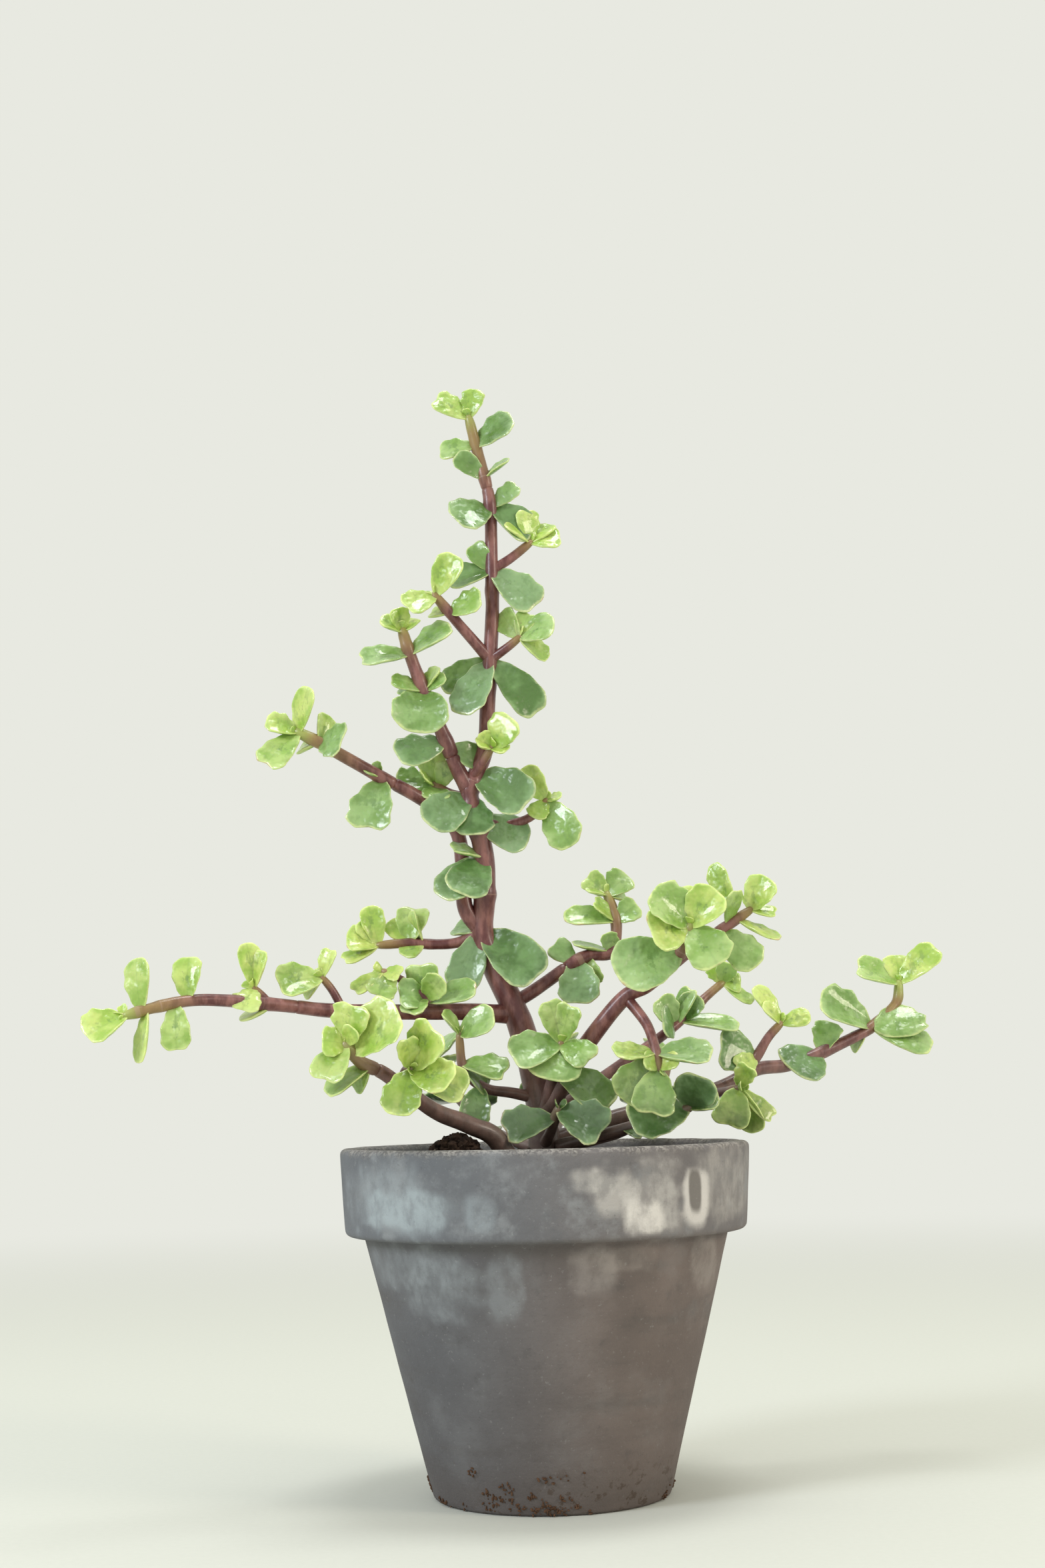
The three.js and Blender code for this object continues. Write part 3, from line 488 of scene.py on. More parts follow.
def place_on(shoot, at):
    """The point and the direction of a stem at a route point, which may lie between two."""
    points = [Vector((x, y, SOIL_LEVEL + height)) for x, y, height in shoot["route"]]
    points = [2 * points[0] - points[1], *points, 2 * points[-1] - points[-2]]
    first = min(int(at), len(shoot["route"]) - 2)
    share = at - first
    before, start, end, after = points[first:first + 4]
    leave, arrive = (end - before) / 2, (after - start) / 2
    bend = 2 * (start - end) + leave + arrive
    swing = 3 * (end - start) - 2 * leave - arrive
    point = start + leave * share + swing * share ** 2 + bend * share ** 3
    along = leave + 2 * swing * share + 3 * bend * share ** 2
    return point, along.normalized()


def stem_radius(shoot, at):
    """A stem is thickest where it starts, and thins quickly at first."""
    share = at / (len(shoot["route"]) - 1)
    return STEM_GIRTH * blend(*shoot["thick"], math.sqrt(share))


def stem_length(shoot, start, end, steps=40):
    """The length of a stretch of stem, measured along its curve."""
    spots = [place_on(shoot, blend(start, end, step / steps))[0] for step in range(steps + 1)]
    return sum((b - a).length for a, b in zip(spots, spots[1:]))


print("the trunk is", round(stem_length(SHOOTS[0], 0, 20)), "mm long")

# %% [markdown]
# ## What the materials need to know
#
# A leaf's cream margin follows its outline, and a stem's scars follow its joints. Object
# coordinates can't tell where an outline is, so every vertex carries a few numbers that the
# materials read as attributes:
#
# - rim: 0 in the middle of a leaf and 1 at its outline
# - fold: how far a spot lies from the midrib, for the crease
# - youth: 0 for old growth and 1 for the newest
# - tint: a different number for each leaf
# - scar: 1 on a stem's joints, where leaves have grown

# %% Attributes on a mesh
MARKS = ("rim", "fold", "youth", "tint", "scar")


def marked_mesh():
    """An empty bmesh with one number layer for each mark."""
    mesh = bmesh.new()
    layers = {mark: mesh.verts.layers.float.new(mark) for mark in MARKS}
    return mesh, layers


# %% [markdown]
# ## A stem
#
# A stem is a thin tapering tube that swells a little at each joint. It could be a curve object
# with a bevel, but a curve gives no say over each ring. Here a plain cylinder one unit long is
# cut into rings by subdividing its long edges, and each ring is then moved to its place on the
# curve and turned square to it. A bud closes the tip.

# %% Grow a stem
STEM_SIDES = 8
RING_SPACING = 2.0
JOINT_SWELL = 0.2
JOINT_SPREAD = 1.1  # millimetres along the stem on each side of a joint


def joint_places(shoot):
    """The distances along a stem, in millimetres, at which its leaves grow."""
    return sorted({round(stem_length(shoot, 0, leaf[0]), 2) for leaf in shoot["leaves"]})


def add_stem(mesh, layers, shoot, start, end):
    """Adds the stretch of stem between two route points, with its joints and its bud."""
    last = len(shoot["route"]) - 1
    length = stem_length(shoot, start, end)
    rings = max(3, round(length / RING_SPACING))
    count_before = len(mesh.verts)
    cylinder = bmesh.ops.create_cone(
        mesh, cap_ends=True, cap_tris=False, segments=STEM_SIDES, radius1=1, radius2=1, depth=1)
    edges = {edge for vert in cylinder["verts"] for edge in vert.link_edges}
    long_edges = [edge for edge in edges if abs(edge.verts[0].co.z - edge.verts[1].co.z) > 0.5]
    bmesh.ops.subdivide_edges(mesh, edges=long_edges, cuts=rings - 1)
    mesh.verts.ensure_lookup_table()
    verts = mesh.verts[count_before:]
    before = stem_length(shoot, 0, start) if start > 0 else 0.0
    joints = joint_places(shoot)
    # the trunk stays woody almost to its top
    youth_span = (15, 21) if shoot is SHOOTS[0] else (min(0.5 * last, last - 1.8), last + 0.6)
    for vert in verts:
        share = vert.co.z + 0.5
        at = blend(start, end, share)
        point, along = place_on(shoot, at)
        travelled = before + length * share
        scar = max((math.exp(-((travelled - joint) / JOINT_SPREAD) ** 2) for joint in joints), default=0)
        lumps = 0.05 * noise.noise(point * 0.25 + vert.co)
        radius = stem_radius(shoot, at) * (1 + JOINT_SWELL * scar + lumps)
        if share > 0.999 and end == last:
            point = point + along * stem_radius(shoot, at)
            radius *= 0.6
        across = Vector((0, 1, 0)).cross(along).normalized()
        other = across.cross(along)
        spot = point + across * vert.co.x * radius + other * vert.co.y * radius
        vert.co = spot * MM
        vert[layers["scar"]] = scar
        vert[layers["youth"]] = soft_step(*youth_span, at)
    for face in {face for vert in verts for face in vert.link_faces}:
        face.smooth = True


# %% [markdown]
# ## A leaf
#
# The leaf is fleshy: it is narrow where it joins the stem, broad and round past the middle, as
# thick as a coin, and cupped towards its upper face. Its thick margin is slightly wavy and has
# shallow scallops. Cutting it from a flat grid and giving that a wall would leave a sharp edge, so
# the leaf starts as a ball of few faces with its poles at the base and the tip. Each vertex is
# moved by the same simple rules: flattened, drawn out, cupped, and waved and scalloped near the
# outline. Subdivision later rounds the cage.

# %% Grow a leaf
LEAF_ROUND = 12
LEAF_STEPS = 10
LEAF_THICKNESS = 2.2
LEAF_BREADTH = 1.12
LEAF_CUP = 0.13
BASE_BREADTH = 0.6
TIP_BREADTH = 1.4
FULLNESS = 0.8  # below 1 it squares the section, which makes the margin thick
# how fresh the leaves of each shoot look, below 0 for dull ones
USUAL_FRESHNESS = 0.15
FRESHNESS = {
    "front_rosette_twig": 0.55, "left_side_twig": 0.45, "long_left_branch": 0.4, "rim_twig": 0.45,
    "left_branch_middle_twig": 0.3, "left_branch_outer_twig": 0.4, "left_branch_inner_twig": 0.35,
    "front_left_branch": 0.4, "right_branch": 0.42, "right_fork": 0.3, "right_side_shoot": 0.35,
    "upper_right_twig": 0.35, "upper_left_twig": 0.25, "upper_front_twig": 0.4, "left_arm": 0.25,
    "left_leader": 0.2, "long_right_branch": 0.25, "hanging_right_twig": 0.3, "trunk": 0.08,
    "foot_twig": -0.3, "low_right_twig": -0.1, "rear_left_shoot": -0.05, "rear_shoot": -0.05,
    "rear_right_shoot": -0.05,
}


def fuller(value):
    """Pushes a number between -1 and 1 outwards, and keeps its sign."""
    return math.copysign(abs(value) ** FULLNESS, value)


def add_leaf(mesh, layers, shoot, leaf, dice):
    """Adds one leaf with its own cup, waves and tint."""
    at, reach, broad, face_to = leaf
    last = len(shoot["route"]) - 1
    point, _ = place_on(shoot, at)
    blade = Vector(reach)
    length, along = blade.length, blade.normalized()
    face_to = Vector(face_to)
    up = (face_to - along * face_to.dot(along)).normalized()
    side = along.cross(up)
    width = broad * LEAF_BREADTH
    half_thickness = min(LEAF_THICKNESS, width * 0.3) / 2
    cup = LEAF_CUP * dice.uniform(0.4, 2.2)
    curl = dice.uniform(-0.07, 0.13)
    twist = dice.uniform(-0.2, 0.2)
    wave, wave_start = dice.uniform(0.02, 0.07), dice.uniform(0, math.tau)
    notch = dice.choice((0, 0.03, 0.07, 0.13))
    scallop = dice.uniform(0.05, 0.19)
    lopsided = dice.uniform(-0.08, 0.08)
    small = soft_step(12, 5, broad)
    youth = 0.35 * small + 0.3 * soft_step(last - 1.6, last, at) + dice.uniform(-0.17, 0.17)
    youth += FRESHNESS.get(shoot["name"], USUAL_FRESHNESS)
    youth = min(1, max(0, youth))
    tint = dice.random()
    ball = bmesh.ops.create_uvsphere(mesh, u_segments=LEAF_ROUND, v_segments=LEAF_STEPS, radius=1)
    for vert in ball["verts"]:
        x, y, z = vert.co
        share = (1 + z) / 2
        out = math.hypot(x, z)
        breadth = (width / 2) * blend(BASE_BREADTH, TIP_BREADTH, share)
        dent = 1 - notch * math.exp(-(x / 0.3) ** 2) * soft_step(0.6, 1, share)
        ripple = math.sin(wave_start + 9 * z + (2 if x > 0 else 0))
        ring = round(math.acos(max(-1, min(1, z))) * LEAF_STEPS / math.pi)
        lobe = scallop * (1 if ring % 2 else -1) * out
        sideways = fuller(x) * breadth * (1 + 0.9 * wave * ripple + lobe + lopsided * x)
        rise = width * (cup * x * x + (wave * ripple + 0.6 * lobe) * abs(x) ** 3 + twist * x * share * 0.5)
        rise += curl * length * share * share
        thick = half_thickness * (0.8 + 0.25 * x * x) * (0.75 + 0.25 * soft_step(0, 0.4, share))
        spot = point + along * share * length * dent + side * sideways
        spot += up * (fuller(y) * thick + rise)
        vert.co = spot * MM
        vert[layers["rim"]] = out
        vert[layers["fold"]] = x
        vert[layers["youth"]] = youth
        vert[layers["tint"]] = tint
    for face in {face for vert in ball["verts"] for face in vert.link_faces}:
        face.smooth = True
        face.material_index = 1


def add_bud_leaves(mesh, layers, shoot, dice):
    """Adds the pair of tiny new leaves that opens at a shoot's very tip."""
    last = len(shoot["route"]) - 1
    _, along = place_on(shoot, last)
    turn = dice.uniform(0, math.pi)
    across = along.orthogonal().normalized()
    across.rotate(Matrix.Rotation(turn, 3, along))
    for way in (-1, 1):
        size = dice.uniform(3.0, 4.2)
        reach = (along * 1.0 + across * way * 0.65).normalized() * size
        face_to = along - across * way
        add_leaf(mesh, layers, shoot, [last, reach, size * 0.62, face_to], dice)


# %% [markdown]
# ## One piece from one bmesh
# Every piece ends the same way: faces turned outwards, its materials added, a subdivision modifier
# that smooths the cage, a place under the root body, and the part's own node for it hidden.

# %% Finish a piece
def finish_piece(mesh, name, node, finishes, smoothing=1):
    """Turns a bmesh into an object that stands for a node of the part."""
    bmesh.ops.recalc_face_normals(mesh, faces=mesh.faces)
    data = bpy.data.meshes.new(name)
    mesh.to_mesh(data)
    mesh.free()
    for finish in finishes:
        data.materials.append(finish)
    piece = bpy.data.objects.new(name, data)
    bpy.context.scene.collection.objects.link(piece)
    if smoothing:
        rounding = piece.modifiers.new("rounding", "SUBSURF")
        rounding.levels = smoothing
        rounding.render_levels = smoothing
    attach(piece, "root")
    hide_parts(node)
    return piece


# %% [markdown]
# ## Building materials from nodes
#
# Colours are written as the hex values that a paint program shows, and one function turns them
# to the linear values that the renderer adds up. Another adds a node with its settings and its
# links, so that each material below reads like a recipe.

# %% Colour and node helpers
def colour(code):
    """A hex colour as linear red, green, blue and a solid alpha."""
    parts = [int(code[i:i + 2], 16) / 255 for i in (1, 3, 5)]
    return (*[p / 12.92 if p <= 0.04045 else ((p + 0.055) / 1.055) ** 2.4 for p in parts], 1)


def add_node(tree, kind, settings=None, **inputs):
    """Adds a node. Inputs are named with _ for a space, and take a value or another socket."""
    made = tree.nodes.new("ShaderNode" + kind)
    for key, value in (settings or {}).items():
        setattr(made, key, value)
    for key, value in inputs.items():
        socket = made.inputs[int(key[2:])] if key.startswith("in") and key[2:].isdigit() \
            else made.inputs[key.replace("_", " ")]
        if isinstance(value, bpy.types.NodeSocket):
            tree.links.new(value, socket)
        else:
            socket.default_value = value
    return made


def new_material(name):
    """A material with only its output, ready for a recipe."""
    made = bpy.data.materials.new(name)
    made.use_nodes = True
    made.node_tree.nodes.clear()
    return made, made.node_tree


def show(tree, surface):
    """Links the finished shader to the material's output."""
    add_node(tree, "OutputMaterial", Surface=surface.outputs[0])


def mark(tree, name):
    """The value of one of the marks that the vertices carry."""
    return add_node(tree, "Attribute", {"attribute_name": name}).outputs["Fac"]


def spots(tree, millimetres, detail=3.0, roughness=0.55, stretch=None):
    """Smooth noise with features about this many millimetres across."""
    where = add_node(tree, "TexCoord").outputs["Object"]
    if stretch:
        where = add_node(tree, "Mapping", Vector=where, Scale=stretch).outputs[0]
    return add_node(tree, "TexNoise", Vector=where, Scale=1 / (millimetres * MM), Detail=detail,
                    Roughness=roughness).outputs["Fac"]


def ramp(tree, fac, low, high):
    """0 below low, 1 above high, and a smooth rise between."""
    return add_node(tree, "MapRange", {"interpolation_type": "SMOOTHSTEP"}, Value=fac,
                    From_Min=low, From_Max=high).outputs[0]


def reckon(tree, how, first, second=0.0, third=0.0):
    """A sum, product or the like of numbers and sockets."""
    return add_node(tree, "Math", {"operation": how}, in0=first, in1=second, in2=third).outputs[0]


def mix(tree, share, first, second):
    """A mix of two colours, which are sockets or hex codes."""
    made = add_node(tree, "Mix", {"data_type": "RGBA"})
    for index, value in ((0, share), (6, first), (7, second)):
        value = colour(value) if isinstance(value, str) else value
        if isinstance(value, bpy.types.NodeSocket):
            tree.links.new(value, made.inputs[index])
        else:
            made.inputs[index].default_value = value
    return made.outputs[2]


def blend_up(tree, fac, low, high):
    """Turns a number from 0 to 1 into one from low to high."""
    return add_node(tree, "MapRange", Value=fac, To_Min=low, To_Max=high).outputs[0]


def relief(tree, height, millimetres, strength=1.0, under=None):
    """A bump of this depth, on top of another bump if one is given."""
    made = add_node(tree, "Bump", Height=height, Distance=millimetres * MM, Strength=strength)
    if under is not None:
        tree.links.new(under, made.inputs["Normal"])
    return made.outputs[0]


# %% [markdown]
# ## The leaf's skin
#
# The real thing is living tissue full of water under a waxy skin. The wax gives a soft shine with
# sharper glints on the thick margin, and a little light sinks in before it comes back out. The
# variegation is cream where the tissue has no green: a ragged line all along the outline, with
# paler clouds that reach inwards. New leaves are lime green, and old margins blush.

# %% Waxy leaf
def waxy_leaf():
    made, tree = new_material("waxy variegated leaf")
    youth, tint, rim = mark(tree, "youth"), mark(tree, "tint"), mark(tree, "rim")
    place = add_node(tree, "TexCoord").outputs["Object"]
    height = add_node(tree, "SeparateXYZ", Vector=place).outputs["Z"]
    clouds = spots(tree, 7, detail=3)
    old_green = mix(tree, ramp(tree, clouds, 0.38, 0.64), "#4A6E30", "#6D9255")
    sage_share = reckon(tree, "MULTIPLY", ramp(tree, tint, 0.3, 0.9), 0.65)
    old_green = mix(tree, sage_share, old_green, "#8DAA7E")
    half_green = mix(tree, ramp(tree, clouds, 0.38, 0.64), "#7FA352", "#9CBB74")
    new_green = mix(tree, ramp(tree, clouds, 0.38, 0.64), "#9ABA4C", "#C2D272")
    green = mix(tree, ramp(tree, youth, 0.05, 0.5), old_green, half_green)
    green = mix(tree, ramp(tree, youth, 0.45, 0.95), green, new_green)

    # darker green shows through along the middle, in flecks
    flecks = spots(tree, 3.2, detail=4, roughness=0.65, stretch=(1, 1, 0.6))
    middle = reckon(tree, "SUBTRACT", 1.05, rim)
    fleck_share = reckon(tree, "MULTIPLY", ramp(tree, flecks, 0.53, 0.62), middle)
    green = mix(tree, reckon(tree, "MULTIPLY", fleck_share, 0.6), green, "#58793F")

    # painted shade: leaves low in the plant, where the others would shade them, are painted darker
    painted_shade = reckon(tree, "SUBTRACT", 1.0, ramp(tree, height, 0.1, 0.128))
    green = mix(tree, reckon(tree, "MULTIPLY", painted_shade, 0.6), green, "#2F4A28")

    # paler clouds of variegation, stronger near the outline
    ragged = spots(tree, 2.2, detail=4)
    cloud_edge = reckon(tree, "ADD", rim, reckon(tree, "MULTIPLY", clouds, 0.9))
    cloud_share = reckon(tree, "MULTIPLY", ramp(tree, cloud_edge, 1.15, 1.5), 0.5)
    pale = mix(tree, youth, "#93B183", "#CFE08A")
    skin = mix(tree, cloud_share, green, pale)

    # the cream line along the outline, a few tenths of a millimetre wide and broken in places
    edge = reckon(tree, "MULTIPLY_ADD", ragged, 0.16, reckon(tree, "SUBTRACT", rim, 0.08))
    patchy = ramp(tree, spots(tree, 6, detail=2), 0.3, 0.6)
    cream_share = reckon(tree, "MULTIPLY", ramp(tree, edge, 0.9, 0.985), blend_up(tree, patchy, 0.3, 0.85))
    skin = mix(tree, cream_share, skin, mix(tree, youth, "#CFD6A0", "#DCE894"))

    # old outlines blush in places
    blushing = ramp(tree, spots(tree, 11), 0.6, 0.68)
    blush_share = reckon(tree, "MULTIPLY", blushing, ramp(tree, edge, 0.95, 1.0))
    skin = mix(tree, reckon(tree, "MULTIPLY", blush_share, 0.6), skin, "#B97F70")

    # the crease over the midrib, and small corky freckles
    fold = reckon(tree, "ABSOLUTE", mark(tree, "fold"))
    crease = reckon(tree, "SUBTRACT", 1.0, ramp(tree, fold, 0.0, 0.07))
    skin = mix(tree, reckon(tree, "MULTIPLY", crease, 0.14), skin, "#54773C")
    freckles = ramp(tree, spots(tree, 1.3, detail=2), 0.71, 0.77)
    skin = mix(tree, reckon(tree, "MULTIPLY", freckles, 0.4), skin, "#6E6A3C")

    dimples = relief(tree, spots(tree, 3.5, detail=1), 1.3, 0.7)
    puckers = relief(tree, spots(tree, 2, detail=1), 0.5, 0.7, under=dimples)
    puckered = relief(tree, spots(tree, 0.7, detail=1), 0.03, 0.3, under=puckers)
    shine = blend_up(tree, clouds, 0.2, 0.42)
    show(tree, add_node(
        tree, "BsdfPrincipled", Base_Color=skin, Roughness=shine, IOR=1.45, Normal=puckered,
        Subsurface_Weight=0.2, Subsurface_Radius=(0.5, 1.0, 0.25), Subsurface_Scale=0.0014,
        Coat_Weight=0.55, Coat_Roughness=0.05))
    return made


# %% [markdown]
# ## The bark
#
# The bark is thin and smooth, purple-brown with a faint sheen, and turns olive towards the soft
# tips. Each joint keeps a pale ring where a pair of leaves has dropped. Near the soil the trunk is
# old enough to be grey and rough.

# %% Thin bark
def thin_bark():
    made, tree = new_material("thin purple bark")
    youth, scar = mark(tree, "youth"), mark(tree, "scar")
    streaks = spots(tree, 3, detail=5, roughness=0.6, stretch=(1, 1, 0.35))
    bark = mix(tree, ramp(tree, streaks, 0.35, 0.68), "#5C2E2E", "#90605A")
    bark = mix(tree, ramp(tree, youth, 0.25, 0.8), bark, mix(tree, streaks, "#7D5540", "#A08C52"))
    bark = mix(tree, ramp(tree, youth, 0.8, 1.0), bark, "#9DAF58")
    ring = reckon(tree, "MULTIPLY", ramp(tree, scar, 0.82, 0.98), 0.45)
    bark = mix(tree, ring, bark, "#A98B78")

    # the old foot of the plant
    where = add_node(tree, "TexCoord").outputs["Object"]
    height = add_node(tree, "SeparateXYZ", Vector=where).outputs["Z"]
    old = reckon(tree, "SUBTRACT", 1.0, ramp(tree, height, 0.1, 0.135))
    flakes = spots(tree, 2, detail=6, roughness=0.7)
    bark = mix(tree, reckon(tree, "MULTIPLY", old, 0.75), bark, mix(tree, flakes, "#3E332E", "#877A70"))

    wrinkles = relief(tree, streaks, 0.35, 0.6)
    grain = relief(tree, flakes, 0.2, 0.5, under=wrinkles)
    shine = blend_up(tree, streaks, 0.3, 0.5)
    show(tree, add_node(tree, "BsdfPrincipled", Base_Color=bark, Roughness=shine, IOR=1.45,
                        Normal=grain, Coat_Weight=0.3, Coat_Roughness=0.2))
    return made


leaf_skin, bark_skin = waxy_leaf(), thin_bark()
print("made", leaf_skin.name, "and", bark_skin.name)

# %% [markdown]
# ## Growing the plant
#
# A woody shoot is two pieces: the bare stem, and the soft tip with its leaves, just as the part
# has them. The stretch of each is drawn a little past the boundary, so that the tip grows out of
# the bark as it does on the plant. The dice are seeded, so every run grows the same plant.

# %% Grow every shoot
dice = random.Random(4)
OVERLAP = 0.12  # route points that a bare stem runs on under its tip


def growing_leaves(shoot):
    return [leaf for leaf in shoot["leaves"] if leaf[0] >= shoot["woody"]]


for shoot in SHOOTS:
    name = shoot["name"]
    last = len(shoot["route"]) - 1
    if shoot["woody"]:
        mesh, layers = marked_mesh()
        add_stem(mesh, layers, shoot, 0, shoot["woody"] + OVERLAP)
        finish_piece(mesh, "grown_" + name, name, [bark_skin, leaf_skin])
    mesh, layers = marked_mesh()
    add_stem(mesh, layers, shoot, shoot["woody"], last)
    for leaf in growing_leaves(shoot):
        add_leaf(mesh, layers, shoot, leaf, dice)
    add_bud_leaves(mesh, layers, shoot, dice)
    node = name + "_tip" if shoot["woody"] else name
    finish_piece(mesh, "grown_" + node, node, [bark_skin, leaf_skin])

trunk = SHOOTS[0]
single_leaves = [leaf for leaf in trunk["leaves"] if leaf[0] < trunk["woody"]]
for number, leaf in enumerate(single_leaves, start=1):
    mesh, layers = marked_mesh()
    add_leaf(mesh, layers, trunk, leaf, dice)
    node = "trunk_leaf_" + str(number)
    finish_piece(mesh, "grown_" + node, node, [bark_skin, leaf_skin])

# %% [markdown]
# ## The clay
#
# The pot is unglazed grey clay that was thrown on a wheel and fired, so it is matt and gritty,
# with faint turning lines. Hard water soaks through it and leaves lime: pale, ragged clouds on the
# rim and below it, and a halo round the place where a drip ran down. One helper paints such a
# cloud at a place on the front. The rest of the pot gets its lime from noise.

# %% The pot's sizes and its lime, in millimetres
POT_STEPS = 112
RIM_RADIUS = (pot_high.x - pot_low.x) / 2 / MM
POT_HEIGHT = pot_high.z / MM
RIM_TALL = 25
RIM_TAPER = 1.5
RIM_STEP = 4.5
FOOT_RADIUS = 34
WALL = 6.5
FLOOR = 8
DRAIN_RADIUS = 6
SPLASHES = 52  # clumps of soil that dried onto the foot
SPLASH_SIDE = -1.75  # most of them gather at this turn about the pot, in radians
SPLASH_SPREAD = 0.32
SPLASH_GATHERED = 0.7
WALL_TOP_RADIUS = RIM_RADIUS - RIM_TAPER - RIM_STEP
RIM_BOTTOM = POT_HEIGHT - RIM_TALL
# each cloud's place across and up, its half width and half height, its strength and its tone
LIME_CLOUDS = (
    (-44, 86, 13, 10, 0.35, "#A2AAAE"), (-38, 82, 14, 6.5, 0.55, "#A3ADB1"), (-18, 82, 5, 6, 0.4, "#98A1A6"),
    (12, 90, 8, 4, 0.45, "#BDB9B4"), (19, 87, 9, 8, 0.5, "#C5C0BB"), (29, 85, 10, 11, 0.45, "#C9C5C1"),
    (26, 80, 6, 5.5, 0.75, "#D6D1CC"), (50, 88, 12, 11, 0.4, "#B5B0AB"),
    (-38, 67, 15, 7, 0.3, "#93999C"), (-29, 62, 12, 9, 0.35, "#92989B"), (-12, 62, 6, 10, 0.35, "#92979A"),
    (13, 66, 7, 7, 0.35, "#A19A96"), (22, 69, 8, 4, 0.25, "#A39A94"), (44, 66, 5, 9, 0.3, "#A8A09A"),
)
DRIP = (40.5, 86.5)  # where a dark drip runs down the rim, inside a pale halo


# %% Old grey clay
def lime_cloud(tree, where, x, height, wide, tall, softness=0.55):
    """How limy the clay is in a cloud at x and height, with its half sizes, in millimetres."""
    ragged = spots(tree, 8, detail=4, roughness=0.45)
    wobble = reckon(tree, "MULTIPLY", reckon(tree, "SUBTRACT", ragged, 0.5), min(1.5, 0.17 * wide))
    across = reckon(tree, "DIVIDE", reckon(tree, "SUBTRACT", where["X"], x * MM), wide * MM)
    upward = reckon(tree, "DIVIDE", reckon(tree, "SUBTRACT", where["Z"], height * MM), tall * MM)
    square = reckon(tree, "ADD", reckon(tree, "POWER", reckon(tree, "ABSOLUTE", across), 3.0),
                    reckon(tree, "POWER", reckon(tree, "ABSOLUTE", upward), 3.0))
    away = reckon(tree, "POWER", square, 1 / 3)
    inside = reckon(tree, "SUBTRACT", 1.0, ramp(tree, reckon(tree, "ADD", away, wobble), softness, 1.06))
    front = reckon(tree, "SUBTRACT", 1.0, ramp(tree, where["Y"], -0.02, 0.0))
    return reckon(tree, "MULTIPLY", inside, front)


